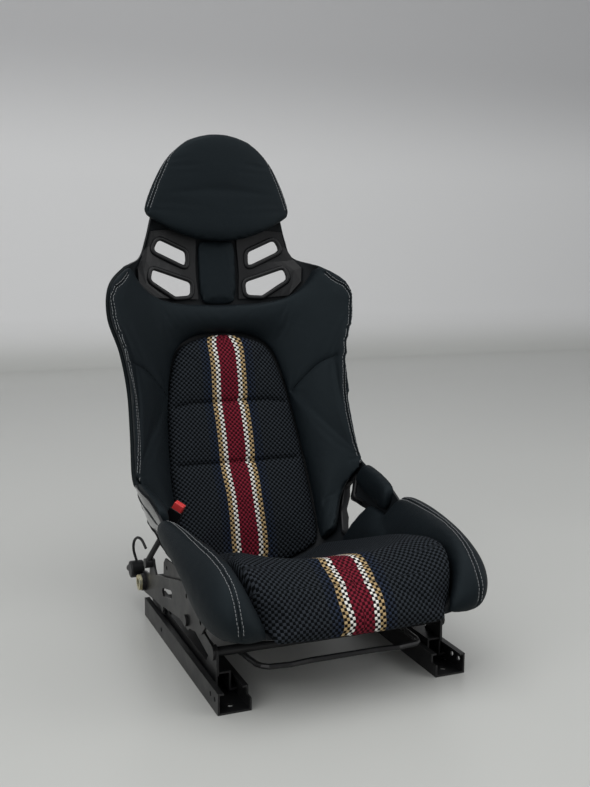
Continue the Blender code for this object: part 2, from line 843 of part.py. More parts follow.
def build_cushion():
    """The woven seat cushion, which rolls over the shell's front lip."""
    unders = []
    tops = []
    for u, half, height in CUSHION_ROWS:
        unders.append([bucket_point(u, half * s, PAD_SEAT) for s, rise in CUSHION_CROWN])
        tops.append([bucket(u, half * s) + CUSHION_THICK * height * rise * CUSHION_RISE
                     for s, rise in CUSHION_CROWN])
    half = CUSHION_ROWS[-1][1]
    for rows, (forward, up) in ((unders, LIP_UNDER), (tops, LIP_FRONT)):
        rows.append([bucket(LIP_STATION, half * s) + Vector((0.0, forward, up))
                     for s, rise in CUSHION_CROWN])
    pad = pad_body("cushion", unders, tops)
    smoothed(pad)
    cut(pad, CORE)
    finish(pad, BODY_SEAT, WEAVE)


CUSHION_THICK = 0.100
CUSHION_CROWN = ((0.0, 1.0), (0.35, 1.0), (0.70, 0.99), (0.94, 0.96), (1.0, 0.86))
LIP_STATION = 23.0
LIP_UNDER = (0.001, -0.010)      # forward and up from the shell's lip
LIP_FRONT = (-0.019, -0.004)
CUSHION_ROWS = (             # station, half width as v, height
    (15.25, 0.43, 0.30),
    (16.60, 0.48, 0.52),
    (18.20, 0.55, 0.72),
    (19.40, 0.60, 0.90),
    (20.40, 0.66, 0.97),
    (21.20, 0.685, 0.76),
    (22.00, 0.68, 0.50),
    (22.85, 0.64, 0.30),
)


def cushion_half(u):
    for (u0, v0, _), (u1, v1, _) in zip(CUSHION_ROWS, CUSHION_ROWS[1:]):
        if u0 <= u <= u1:
            return v0 + (v1 - v0) * (u - u0) / (u1 - u0)
    return CUSHION_ROWS[-1][1]


BOLSTER_ROWS = (             # station, top seam, widest and hem (x, y, z), skirt's edge as v
    (17.15, (0.229, -0.188, 0.255), (0.250, -0.176, 0.240), (0.250, -0.170, 0.222), 0.92),
    (17.80, (0.230, -0.232, 0.268), (0.261, -0.224, 0.236), (0.251, -0.216, 0.204), 0.86),
    (18.80, (0.226, -0.305, 0.266), (0.267, -0.300, 0.228), (0.246, -0.296, 0.193), 0.84),
    (19.35, (0.223, -0.350, 0.263), (0.267, -0.347, 0.218), (0.245, -0.342, 0.184), 0.82),
    (19.85, (0.221, -0.395, 0.259), (0.267, -0.390, 0.206), (0.242, -0.378, 0.148), 0.78),
    (20.50, (0.218, -0.440, 0.252), (0.264, -0.432, 0.190), (0.235, -0.420, 0.106), 0.70),
    (21.20, (0.216, -0.487, 0.238), (0.256, -0.475, 0.174), (0.228, -0.466, 0.108), 0.64),
    (21.90, (0.212, -0.517, 0.214), (0.243, -0.504, 0.164), (0.221, -0.498, 0.122), 0.66),
    (22.60, (0.206, -0.532, 0.184), (0.227, -0.522, 0.154), (0.212, -0.516, 0.132), 0.74),
)


def build_bolsters():
    """Thigh bolsters: they fill the corner beside the cushion, cross the shell's rim, hang
    down its outer side and roll over its front lip."""
    rings = []
    for u, seam, widest, hem, skirt in BOLSTER_ROWS:
        seam = Vector(seam)
        widest = Vector(widest)
        hem = Vector(hem)
        inner = cushion_half(u) + BOLSTER_SEAM
        top = max(CUSHION_THICK * cushion_height(u) * 0.90, 0.02)
        rings.append([
            bucket_point(u, inner, MID_WALL), bucket_point(u, skirt, MID_WALL), hem, widest,
            (seam + widest) / 2 + 0.010 * OUT + 0.006 * UP,
            seam, bucket(u, inner) + top * CUSHION_RISE,
        ])
    inner = bucket(LIP_STATION, cushion_half(LIP_STATION) + BOLSTER_SEAM)
    outer = bucket(LIP_STATION, 0.76)
    under = Vector((0.0, *LIP_UNDER))
    rings.append([
        inner + under, outer + under, *(Vector(point) for point in BOLSTER_NOSE),
        inner + Vector((0.0, *LIP_FRONT)),
    ])
    for side, sign in (("right", 1), ("left", -1)):
        pad = saddle(f"cushion_bolster_{side}", sign, rings)
        near, far = sorted((sign * (ADAPTER_X - 0.0022), sign * (ADAPTER_X + 0.0020)))
        cut(pad, box(f"adapter_room_{side}", (near, -0.440, 0.105), (far, -0.110, 0.1745),
                     CUTTERS))
        cut(pad, cylinder(f"boss_room_{side}", (sign * 0.150, *ADAPTER_BOLTS[0]),
                          (sign * ADAPTER_X, *ADAPTER_BOLTS[0]), 0.0115, 12, CUTTERS))
        finish(pad, BODY_SEAT, LEATHER)


BOLSTER_NOSE = (             # hem, widest, shoulder and seam at the front end
    (0.203, -0.520, 0.134), (0.208, -0.528, 0.144),
    (0.204, -0.533, 0.155), (0.196, -0.533, 0.161),
)
BOLSTER_SEAM = 0.020
MID_WALL = -0.0028


def cushion_height(u):
    for (u0, _, h0), (u1, _, h1) in zip(CUSHION_ROWS, CUSHION_ROWS[1:]):
        if u0 <= u <= u1:
            return h0 + (h1 - h0) * (u - u0) / (u1 - u0)
    return CUSHION_ROWS[-1][2]


# ---- Runners -------------------------------------------------------------------------

def rail_profile():
    """The runner's section (x, z) about its own middle: a trough with turned-in lips."""
    half = RAIL_WIDTH / 2
    t = RAIL_SHEET
    top = RAIL_HEIGHT
    right = [(half, 0.0), (half, top), (half - RAIL_LIP, top), (half - RAIL_LIP, top - t),
             (half - t, top - t), (half - t, t)]
    return right + [(-x, z) for x, z in right[::-1]]


def upper_profile():
    """The slider's section: a hat whose feet run under the lips."""
    hat = UPPER_HAT / 2
    foot = UPPER_FOOT / 2
    t = RAIL_SHEET
    base = UPPER_BASE
    right = [(hat, UPPER_TOP), (hat, base + t), (foot, base + t), (foot, base),
             (hat - t, base), (hat - t, UPPER_TOP - t)]
    return right + [(-x, z) for x, z in right[::-1]]


def along_y(name, profile, x, front, rear, collection=SEAT):
    outline = [(x + px, pz) for px, pz in profile]
    return plate_from_outline(name, outline, "Y", (front + rear) / 2, rear - front, (), collection)


def build_rails():
    for side, sign in (("right", 1), ("left", -1)):
        x = sign * RAIL_X
        outer = sign * (RAIL_X + RAIL_WIDTH / 2)
        rail = along_y(f"lower_rail_{side}", rail_profile(), x, RAIL_FRONT, RAIL_REAR)
        wall_holes = [
            cylinder(f"wall_hole_{i}_{side}", (outer - 0.006, y, z), (outer + 0.006, y, z),
                     radius, 12, CUTTERS)
            for i, (y, z, radius) in enumerate(((-0.446, 0.021, 0.0045), (-0.424, 0.021, 0.0045),
                                                (-0.120, 0.016, 0.0045)))
        ]
        floor_holes = [
            cylinder(f"floor_hole_{i}_{side}", (x, y, -0.004), (x, y, 0.008), 0.0055, 16, CUTTERS)
            for i, y in enumerate((-0.438, -0.018))
        ]
        locks = [
            box(f"lock_window_{i}_{side}",
                (outer - sign * 0.0045 - 0.003, -0.404 + i * LOCK_PITCH - 0.004, -0.002),
                (outer - sign * 0.0045 + 0.003, -0.404 + i * LOCK_PITCH + 0.004, 0.0045),
                CUTTERS)
            for i in range(LOCK_COUNT)
        ]
        inner = sign * (RAIL_X - RAIL_WIDTH / 2)
        tip = box(f"rail_tip_{side}", (min(inner, inner + sign * 0.014) - 0.002, -0.50, 0.0215),
                  (max(inner, inner + sign * 0.014) + 0.002, -0.446, 0.050), CUTTERS)
        cut(rail, *wall_holes, *floor_holes, tip)
        for lock in locks:
            cut(rail, lock)
        finish(rail, BODY_FLOOR, STEEL)


def ear_outline(pivot, foot_front, foot_rear, radius=0.013):
    return hull_outline([(pivot[0], pivot[1], radius), (foot_front, UPPER_TOP - 0.004, 0.0015),
                         (foot_rear, UPPER_TOP - 0.004, 0.0015)])


def build_sliders():
    for side, sign in (("right", 1), ("left", -1)):
        x = sign * RAIL_X
        rail = along_y(f"upper_rail_{side}", upper_profile(), x, UPPER_FRONT, UPPER_REAR)
        front_ear = plate_from_outline(
            f"front_ear_{side}", ear_outline(FRONT_RAIL_PIVOT, -0.408, -0.352), "X",
            sign * EAR_X, 0.004, [circle(FRONT_RAIL_PIVOT, CROSS_TUBE_R + PIVOT_PLAY)], CUTTERS)
        rear_ear = plate_from_outline(
            f"rear_ear_{side}", ear_outline(REAR_RAIL_PIVOT, -0.130, -0.068), "X",
            sign * EAR_X, 0.004, (), CUTTERS)
        join(rail, front_ear, rear_ear)
        bore = cylinder(f"rear_ear_bore_{side}",
                        (sign * (EAR_X - 0.012), *REAR_RAIL_PIVOT),
                        (sign * (EAR_X + 0.006), *REAR_RAIL_PIVOT),
                        PIVOT_R + PIVOT_PLAY, 20, CUTTERS)
        cut(rail, bore)
        finish(rail, BODY_SLIDER, STEEL)
        build_shoes(side, sign)


def build_shoes(side, sign):
    """Nylon glide strips between the slider's feet and the runner's floor."""
    for edge, name in ((-1, "inner"), (1, "outer")):
        middle = sign * RAIL_X + sign * edge * (UPPER_FOOT / 2 - 0.0045)
        glide = box(f"glide_{name}_{side}",
                    (middle - 0.0035, UPPER_FRONT + 0.012, RAIL_SHEET + GAP),
                    (middle + 0.0035, UPPER_REAR - 0.012, UPPER_BASE - GAP))
        finish(glide, BODY_SLIDER, MOULDED)


# ---- Height linkage ------------------------------------------------------------------

def build_rockers():
    for side, sign in (("right", 1), ("left", -1)):
        rear = plate_from_outline(
            f"rear_rocker_{side}",
            hull_outline([(*REAR_RAIL_PIVOT, 0.012), (*REAR_PLATE_PIVOT, 0.014),
                          (*TORQUE_TUBE, 0.014)]),
            "X", sign * ROCKER_X, PLATE_SHEET,
            [circle(REAR_RAIL_PIVOT, PIVOT_R + PIVOT_PLAY),
             circle(REAR_PLATE_PIVOT, PIVOT_R + PIVOT_PLAY)])
        finish(rear, BODY_REAR, STEEL)
        front = plate_from_outline(
            f"front_rocker_{side}",
            hull_outline([(*FRONT_RAIL_PIVOT, 0.013), (*FRONT_PLATE_PIVOT, 0.012)]),
            "X", sign * ROCKER_X, PLATE_SHEET,
            [circle(FRONT_PLATE_PIVOT, PIVOT_R + PIVOT_PLAY)])
        finish(front, BODY_FRONT, STEEL)
    reach = ROCKER_X - PLATE_SHEET / 2 - GAP
    torque = cylinder("rear_torque_tube", (-reach, *TORQUE_TUBE), (reach, *TORQUE_TUBE),
                      TORQUE_TUBE_R, 24)
    finish(torque, BODY_REAR, STEEL)
    cross = cylinder("front_cross_tube", (-reach, *FRONT_RAIL_PIVOT), (reach, *FRONT_RAIL_PIVOT),
                     CROSS_TUBE_R, 20)
    finish(cross, BODY_FRONT, STEEL)


def bolt(name, pivot, inner, outer, head_r, head_h, sign, collection=SEAT):
    """A shoulder bolt along X whose head is on the outer side."""
    shank = cylinder(name, (sign * inner, *pivot), (sign * (outer + 0.001), *pivot), PIVOT_R, 16,
                     collection)
    head = cylinder(f"{name}_head", (sign * outer, *pivot), (sign * (outer + head_h), *pivot),
                    head_r, 16, CUTTERS)
    join(shank, head)
    return shank


def build_pivot_bolts():
    inner = ROCKER_X - PLATE_SHEET / 2 - 0.0006
    outer = PLATE_X + PLATE_SHEET / 2 + GAP
    for side, sign in (("right", 1), ("left", -1)):
        rail_bolt = bolt(f"rail_pivot_bolt_{side}", REAR_RAIL_PIVOT, EAR_X - 0.004,
                         ROCKER_X + PLATE_SHEET / 2 + GAP, 0.009, 0.0018, sign)
        finish(rail_bolt, BODY_SLIDER, STEEL)
        front_bolt = bolt(f"front_pivot_bolt_{side}", FRONT_PLATE_PIVOT, inner, outer, 0.010,
                          0.005, sign)
        finish(front_bolt, BODY_SEAT, STEEL)
        rear_bolt = bolt(f"hub_bolt_{side}", REAR_PLATE_PIVOT, inner, outer, 0.017, 0.007, sign)
        finish(rear_bolt, BODY_SEAT, STEEL)


def build_side_plates():
    hub = REAR_PLATE_PIVOT
    front = FRONT_PLATE_PIVOT
    outline = (
        [(hub[0] + 0.022 * math.cos(a), hub[1] + 0.022 * math.sin(a))
         for a in [math.radians(d) for d in range(-80, 81, 20)]]
        + [(-0.030, 0.096), (-0.037, 0.120), (-0.045, 0.135), (-0.060, 0.135), (-0.069, 0.120),
           (-0.080, 0.110), (-0.200, 0.141), (-0.318, 0.170), (-0.345, 0.169),
           (-0.372, 0.158), (-0.388, 0.140), (-0.392, 0.120), (-0.372, 0.101)]
        + [(front[0] + 0.017 * math.cos(a), front[1] + 0.017 * math.sin(a))
           for a in [math.radians(d) for d in (215, 235, 255, 275, 295)]]
        + [(-0.240, 0.082), (-0.100, 0.060)]
    )
    for side, sign in (("right", 1), ("left", -1)):
        holes = [
            circle(hub, PIVOT_R + PIVOT_PLAY),
            circle(front, PIVOT_R + PIVOT_PLAY),
            oblong((-0.366, 0.130), 0.030, 0.010, math.radians(80)),
            oblong((-0.160, 0.100), 0.070, 0.016, math.radians(166)),
            circle(ADAPTER_BOLTS[0], 0.0045, 12),
            circle((-0.286, 0.138), 0.0045, 12),
            circle(BUCKLE_ANCHOR[1:], 0.0045, 12),
        ]
        plate = plate_from_outline(f"side_plate_{side}", outline, "X", sign * PLATE_X,
                                   PLATE_SHEET, holes)
        finish(plate, BODY_SEAT, STEEL)
        build_adapter(side, sign)


def build_adapter(side, sign):
    """The bracket between side plate and shell, with lightening windows."""
    outline = [
        (-0.118, 0.114), (-0.120, 0.146), (-0.132, 0.158), (-0.236, 0.168), (-0.373, 0.172),
        (-0.408, 0.160), (-0.436, 0.128), (-0.424, 0.122), (-0.396, 0.146), (-0.372, 0.150),
        (-0.345, 0.128), (-0.300, 0.118), (-0.250, 0.128), (-0.140, 0.112),
    ]
    holes = [circle(place, 0.0045, 12) for place in ADAPTER_BOLTS]
    adapter = plate_from_outline(f"shell_adapter_{side}", outline, "X", sign * ADAPTER_X,
                                 ADAPTER_SHEET, holes)
    finish(adapter, BODY_SEAT, STEEL)


def build_height_motor():
    """The drive at the rear of the left-hand side: a zinc ring on the hub, the motor behind
    it, its plug and the cable loop that goes up under the shell."""
    hub_y, hub_z = REAR_PLATE_PIVOT
    face = PLATE_X + PLATE_SHEET / 2
    ring = cylinder("hub_ring", (-face - 0.0078, hub_y, hub_z), (-face - 0.0135, hub_y, hub_z),
                    0.0155, 24)
    cut(ring, cylinder("hub_ring_bore", (-face, hub_y, hub_z), (-0.250, hub_y, hub_z), 0.0085,
                       20, CUTTERS))
    finish(ring, BODY_SEAT, ZINC)
    motor = cylinder("height_motor", (-0.2165, *MOTOR_AXIS), (-0.2440, *MOTOR_AXIS), 0.017, 24)
    soften(motor, 0.003, 2)
    finish(motor, BODY_SEAT, MOULDED)
    plug = cylinder("motor_plug", (-0.2330, MOTOR_AXIS[0] + 0.0176, MOTOR_AXIS[1] - 0.004),
                    (-0.2345, MOTOR_AXIS[0] + 0.0420, MOTOR_AXIS[1] - 0.010), 0.0075, 16)
    soften(plug, 0.002, 2)
    finish(plug, BODY_SEAT, MOULDED)
    y, z = MOTOR_AXIS
    route = [(-0.2300, y, z + 0.0176), (-0.2350, y + 0.003, z + 0.040),
             (-0.2345, y - 0.012, z + 0.066), (-0.2290, y - 0.036, z + 0.072),
             (-0.2240, y - 0.055, z + 0.058)]
    loop = tube("cable_loop", route, 0.0028, 2, 4)
    finish(loop, BODY_SEAT, MOULDED)


MOTOR_AXIS = (0.052, 0.082)


# ---- Release bar ---------------------------------------------------------------------

def build_release_bar():
    tip = RAIL_X - UPPER_HAT / 2 - 0.0008
    half = [
        (tip, *BAR_PIVOT), (0.162, *BAR_PIVOT), (0.152, -0.372, 0.0575),
        (0.147, -0.430, 0.0610), (0.134, *BAR_FRONT), (0.060, *BAR_FRONT),
    ]
    route = half + [(-x, y, z) for x, y, z in half[::-1]]
    bar = tube("release_bar", route, BAR_R, 2, 2)
    finish(bar, BODY_BAR, STEEL)


# ---- Buckle --------------------------------------------------------------------------

def build_buckle():
    anchor = Vector(BUCKLE_ANCHOR)
    mouth = Vector(BUCKLE_MOUTH)
    along = (mouth - anchor).normalized()
    turn = along.to_track_quat("Z", "X").to_matrix().to_4x4()
    wide, deep, tall = BUCKLE_SIZE
    housing = box("buckle_housing", (-wide / 2, -deep / 2, -tall), (wide / 2, deep / 2, 0.0))
    housing.data.transform(Matrix.Translation(mouth) @ turn)
    pocket_w, pocket_d, pocket_h = BUTTON_SIZE
    pocket = box("button_pocket", (-pocket_w / 2 - 0.0008, -pocket_d / 2 - 0.0008, -pocket_h),
                 (pocket_w / 2 + 0.0008, pocket_d / 2 + 0.0008, 0.004), CUTTERS)
    pocket.data.transform(Matrix.Translation(mouth) @ turn)
    cut(housing, pocket)
    soften(housing, 0.0007, 1)
    finish(housing, BODY_BUCKLE, MOULDED)
    button = box("buckle_button", (-pocket_w / 2, -pocket_d / 2, -pocket_h + 0.006),
                 (pocket_w / 2, pocket_d / 2, BUTTON_PROUD))
    button.data.transform(Matrix.Translation(mouth) @ turn)
    soften(button, 0.0015, 2)
    finish(button, BODY_BUTTON, BUCKLE_RED)
    foot = mouth - along * (tall + GAP)
    stalk = tube("buckle_stalk", [anchor + along * 0.003, (anchor + foot) / 2, foot], 0.0055, 2, 3)
    eye = cylinder("stalk_eye", anchor - 0.0035 * OUT, anchor + 0.0105 * OUT, 0.0095, 16, CUTTERS)
    join(stalk, eye)
    finish(stalk, BODY_BUCKLE, STEEL)


def main():
    build_shell()
    build_head_pad()
    build_back_insert()
    build_back_cover()
    build_spine_pad()
    build_bezels()
    build_hip_caps()
    build_lap_bezels()
    build_cushion()
    build_bolsters()
    build_rails()
    build_sliders()
    build_rockers()
    build_pivot_bolts()
    build_side_plates()
    build_height_motor()
    build_release_bar()
    build_buckle()
    for cutter in CUTTERS.objects:
        cutter.parent = ORIGIN


main()
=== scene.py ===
"""Racing seat: shell, covers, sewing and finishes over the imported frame.

Metres, +Z up, the occupant faces -Y. The covers are made from the frame's solids, puffed as
cloth between their seams, and sewn with thread. The shell is drawn from its stations.
"""

import math

import bmesh
import bpy
from mathutils import Matrix, Vector
from mathutils.bvhtree import BVHTree
from mathutils.kdtree import KDTree


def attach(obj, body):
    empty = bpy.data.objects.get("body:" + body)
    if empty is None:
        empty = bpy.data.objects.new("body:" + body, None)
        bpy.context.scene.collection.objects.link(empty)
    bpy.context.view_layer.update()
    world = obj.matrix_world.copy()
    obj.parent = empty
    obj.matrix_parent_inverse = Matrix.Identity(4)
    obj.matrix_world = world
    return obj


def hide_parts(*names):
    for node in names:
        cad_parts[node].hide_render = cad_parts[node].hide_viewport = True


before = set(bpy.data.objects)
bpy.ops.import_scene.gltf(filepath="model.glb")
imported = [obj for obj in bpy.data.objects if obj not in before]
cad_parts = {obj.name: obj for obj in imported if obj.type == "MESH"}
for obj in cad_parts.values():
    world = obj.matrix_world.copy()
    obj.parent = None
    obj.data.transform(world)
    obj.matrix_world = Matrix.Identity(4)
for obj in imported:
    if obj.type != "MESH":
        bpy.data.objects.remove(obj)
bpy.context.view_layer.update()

bl_info = {
    "name": "Racing seat",
    "version": (1, 0, 0),
    "blender": (4, 5, 0),
    "location": "3D View > Sidebar > Seat",
    "description": "Dresses a racing seat's frame with covers, sewing and finishes",
    "category": "Add Mesh",
}

# ---- The bucket ----------------------------------------------------------------------

BIGHT_Y = 0.139              # from the origin to the bight, where back and seat meet
BIGHT_STATION = 15
SHELL_WALL = 0.005
SIDE_BEND_BACK = (0.88, 0.26)    # where the side curves up, as shares of the rim's x and rise
SIDE_BEND_PAN = (0.96, 0.50)
BEND_FADE = 4                # stations over which one becomes the other
FLAT_SHARE = 0.6             # of the rim's x, the most that the flat part may take
# Middle (y, z), half width of the flat part, and rim (x, y, z), from the head to the front lip.
SHELL_STATIONS = (
    ((0.236, 0.956), 0.025, (0.050, 0.236, 0.947)),
    ((0.243, 0.915), 0.060, (0.096, 0.236, 0.905)),
    ((0.246, 0.860), 0.080, (0.128, 0.233, 0.850)),
    ((0.246, 0.800), 0.090, (0.144, 0.230, 0.792)),
    ((0.244, 0.745), 0.100, (0.157, 0.228, 0.742)),
    ((0.240, 0.700), 0.110, (0.173, 0.220, 0.704)),
    ((0.234, 0.655), 0.120, (0.214, 0.170, 0.684)),
    ((0.227, 0.610), 0.130, (0.257, 0.120, 0.648)),
    ((0.218, 0.560), 0.130, (0.262, 0.110, 0.588)),
    ((0.206, 0.505), 0.130, (0.241, 0.100, 0.518)),
    ((0.186, 0.435), 0.130, (0.230, 0.085, 0.440)),
    ((0.158, 0.355), 0.130, (0.232, 0.055, 0.356)),
    ((0.122, 0.270), 0.130, (0.240, 0.012, 0.292)),
    ((0.082, 0.180), 0.125, (0.243, -0.022, 0.274)),
    ((0.042, 0.100), 0.120, (0.243, -0.052, 0.270)),
    ((-0.005, 0.050), 0.120, (0.242, -0.082, 0.268)),
    ((-0.070, 0.038), 0.120, (0.240, -0.115, 0.265)),
    ((-0.150, 0.052), 0.125, (0.237, -0.160, 0.252)),
    ((-0.240, 0.078), 0.130, (0.233, -0.235, 0.224)),
    ((-0.330, 0.100), 0.130, (0.230, -0.325, 0.212)),
    ((-0.415, 0.119), 0.130, (0.224, -0.405, 0.200)),
    ((-0.476, 0.131), 0.130, (0.209, -0.468, 0.176)),
    ((-0.500, 0.134), 0.125, (0.195, -0.494, 0.155)),
    ((-0.508, 0.128), 0.120, (0.182, -0.505, 0.138)),
)
LAST_STATION = len(SHELL_STATIONS) - 1
MIDDLES = [(middle[0], middle[1], flat) for middle, flat, rim in SHELL_STATIONS]
RIMS = [rim for middle, flat, rim in SHELL_STATIONS]

HARNESS_SLOTS = (
    ((0.133, 0.746), (0.149, 0.717), (0.067, 0.679), (0.068, 0.717)),
    ((0.152, 0.683), (0.159, 0.655), (0.100, 0.617), (0.061, 0.619), (0.059, 0.652)),
)
LAP_SLOT = (
    (-0.006, 0.250), (0.012, 0.226), (-0.010, 0.178), (-0.043, 0.143), (-0.086, 0.138),
    (-0.097, 0.172), (-0.110, 0.199), (-0.060, 0.202), (-0.020, 0.206),
)
SIDES = (("right", 1.0), ("left", -1.0))


def clamped(value):
    """A value, kept from 0 to 1."""
    return min(max(value, 0.0), 1.0)


def between(values, place):
    """A smooth curve through equally spaced values, at a fractional place."""
    place = min(max(place, 0.0), len(values) - 1.0)
    i = min(int(place), len(values) - 2)
    t = place - i
    p1 = Vector(values[i])
    p2 = Vector(values[i + 1])
    p0 = Vector(values[i - 1]) if i > 0 else 2 * p1 - p2
    p3 = Vector(values[i + 2]) if i + 2 < len(values) else 2 * p2 - p1
    return 0.5 * (
        2 * p1 + (p2 - p0) * t + (2 * p0 - 5 * p1 + 4 * p2 - p3) * t * t
        + (3 * p1 - p0 - 3 * p2 + p3) * t ** 3
    )


def bucket(u, v):
    """A point of the shell's inner face: u along the stations, v from the middle (0) to the
    rim (1), and to -1 at the other rim."""
    side = -1.0 if v < 0 else 1.0
    v = abs(v)
    cy, cz, flat = between(MIDDLES, u)
    rim = between(RIMS, u)
    blend = clamped((u - BIGHT_STATION + BEND_FADE) / BEND_FADE)
    reach, rise = (b + (p - b) * blend for b, p in zip(SIDE_BEND_BACK, SIDE_BEND_PAN))
    middle = Vector((0.0, cy, cz))
    inner = Vector((min(flat, FLAT_SHARE * rim.x), cy, cz))
    outer = Vector((reach * rim.x, cy + rise * (rim.y - cy), cz + rise * (rim.z - cz)))
    w = 1.0 - v
    point = w ** 3 * middle + 3 * w * w * v * inner + 3 * w * v * v * outer + v ** 3 * rim
    return Vector((side * point.x, point.y + BIGHT_Y, point.z))


def facing(u, v):
    """The bucket's unit normal, towards the occupant."""
    step = 0.02
    along = bucket(min(u + step, LAST_STATION), v) - bucket(max(u - step, 0), v)
    across = bucket(u, min(v + step, 1.0)) - bucket(u, max(v - step, -1.0))
    return along.cross(across).normalized()


# ---- Mesh helpers --------------------------------------------------------------------

def new_object(name, data):
    thing = bpy.data.objects.new(name, data)
    bpy.context.scene.collection.objects.link(thing)
    return thing


def from_bmesh(name, shape):
    data = bpy.data.meshes.new(name)
    shape.to_mesh(data)
    shape.free()
    return new_object(name, data)


def applied(thing):
    """Replaces a piece's mesh by what its modifiers make of it."""
    depsgraph = bpy.context.evaluated_depsgraph_get()
    data = bpy.data.meshes.new_from_object(
        thing.evaluated_get(depsgraph), preserve_all_data_layers=True, depsgraph=depsgraph)
    thing.modifiers.clear()
    thing.data = data
    data.name = thing.name
    return thing


def modifier(thing, kind, **settings):
    """A new modifier on a piece, with its settings."""
    step = thing.modifiers.new(kind.lower(), kind)
    for name, value in settings.items():
        setattr(step, name, value)
    return step


def placed(thing, finish):
    """Gives a finished piece its material and slot, and lets it ride on the seat."""
    thing.data.materials.clear()
    thing.data.materials.append(look(finish))
    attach(thing, "seat")


CORNER_SHARE = 0.45          # of a side, the most that one corner's arc may take
LEAST_LEAN = 0.5             # keeps a sharp corner from running far out


def rounded(corners, radius, steps):
    """A polygon's corners as arcs."""
    outline = []
    count = len(corners)
    for i in range(count):
        corner = Vector(corners[i])
        before = Vector(corners[i - 1]) - corner
        after = Vector(corners[(i + 1) % count]) - corner
        half = before.angle(after) / 2
        run = min(radius / math.tan(half), CORNER_SHARE * before.length,
                  CORNER_SHARE * after.length)
        start = corner + before.normalized() * run
        end = corner + after.normalized() * run
        for k in range(steps + 1):
            t = k / steps
            outline.append(tuple((1 - t) ** 2 * start + 2 * (1 - t) * t * corner + t * t * end))
    return outline


def widened(corners, margin):
    """A closed polygon with every side moved outwards by a margin."""
    count = len(corners)
    area = sum(a[0] * b[1] - a[1] * b[0] for a, b in zip(corners, corners[1:] + corners[:1]))
    turn = 1.0 if area > 0 else -1.0
    grown = []
    for i in range(count):
        here = Vector(corners[i])
        first = (here - Vector(corners[i - 1])).normalized()
        second = (Vector(corners[(i + 1) % count]) - here).normalized()
        normal = turn * Vector((first.y + second.y, -first.x - second.x)).normalized()
        lean = normal.dot(turn * Vector((first.y, -first.x)))
        grown.append(tuple(here + normal * (margin / max(lean, LEAST_LEAN))))
    return grown


def prism(name, outline, axis, low, high):
    """A solid through an outline, along X or Y."""
    shape = bmesh.new()
    if axis == "X":
        ring = [shape.verts.new((low, a + BIGHT_Y, b)) for a, b in outline]
        reach = Vector((high - low, 0.0, 0.0))
    else:
        ring = [shape.verts.new((a, low, b)) for a, b in outline]
        reach = Vector((0.0, high - low, 0.0))
    face = shape.faces.new(ring)
    made = bmesh.ops.extrude_face_region(shape, geom=[face])
    moved = [part for part in made["geom"] if isinstance(part, bmesh.types.BMVert)]
    bmesh.ops.translate(shape, vec=reach, verts=moved)
    bmesh.ops.recalc_face_normals(shape, faces=shape.faces)
    return from_bmesh(name, shape)


def cut(thing, cutters):
    """Cuts solids out of a piece and removes them."""
    for cutter in cutters:
        modifier(thing, "BOOLEAN", operation="DIFFERENCE", solver="EXACT", object=cutter)
    applied(thing)
    for cutter in cutters:
        bpy.data.objects.remove(cutter)


def slot_outline(corners, margin, radius, side=1.0, steps=6):
    """A slot's outline on one side, widened by a margin and with round corners."""
    return rounded([(side * a, b) for a, b in widened(corners, margin)], radius, steps)


def bucket_patch(name, stations, widths, columns, rows):
    """A sheet of the bucket between two stations and two widths."""
    shape = bmesh.new()
    bmesh.ops.create_grid(shape, x_segments=columns, y_segments=rows, size=1.0)
    for vertex in shape.verts:
        across = (vertex.co.x + 1.0) / 2
        along = (vertex.co.y + 1.0) / 2
        vertex.co = bucket(stations[0] + (stations[1] - stations[0]) * along,
                           widths[0] + (widths[1] - widths[0]) * across)
    return from_bmesh(name, shape)


def skin(shape, loops):
    """Faces between closed loops of equal length, with both ends closed."""
    for before, after in zip(loops, loops[1:]):
        for i in range(len(before)):
            shape.faces.new((before[i - 1], before[i], after[i], after[i - 1]))
    shape.faces.new(loops[0])
    shape.faces.new(loops[-1][::-1])
    bmesh.ops.recalc_face_normals(shape, faces=shape.faces)


def node_mesh(node):
    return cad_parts[node].data


def surface_tree(*meshes):
    """A search tree over the surfaces of meshes."""
    points = []
    faces = []
    for data in meshes:
        base = len(points)
        points.extend(vertex.co.copy() for vertex in data.vertices)
        faces.extend(tuple(base + i for i in face.vertices) for face in data.polygons)
    return BVHTree.FromPolygons(points, faces)


# ---- Shader helpers ------------------------------------------------------------------

class Signal:
    """A socket's value, with arithmetic that adds Math nodes."""

    def __init__(self, graph, socket):
        self.graph = graph
        self.socket = socket

    def math(self, operation, *values):
        return self.graph.node("ShaderNodeMath", {"operation": operation},
                               dict(enumerate(values)))

    def __add__(self, other):
        return self.math("ADD", self, other)

    def __radd__(self, other):
        return self.math("ADD", other, self)

    def __sub__(self, other):
        return self.math("SUBTRACT", self, other)

    def __rsub__(self, other):
        return self.math("SUBTRACT", other, self)

    def __mul__(self, other):
        return self.math("MULTIPLY", self, other)

    def __rmul__(self, other):
        return self.math("MULTIPLY", other, self)

    def __pow__(self, other):
        return self.math("POWER", self, other)

    def __abs__(self):
        return self.math("ABSOLUTE", self)

    def sine(self):
        return self.math("SINE", self)

    def step(self, low, high):
        """0 below low, 1 above high, and smooth in between."""
        return self.graph.node(
            "ShaderNodeMapRange", {"interpolation_type": "SMOOTHSTEP"},
            {"Value": self, "From Min": low, "From Max": high})

    def scaled(self, low, high, to_low, to_high):
        return self.graph.node(
            "ShaderNodeMapRange", {"clamp": True},
            {"Value": self, "From Min": low, "From Max": high, "To Min": to_low,
             "To Max": to_high})

    def spread(self, low, high):
        """The middle of a noise's values, brought to a range."""
        return self.scaled(0.3, 0.7, low, high)


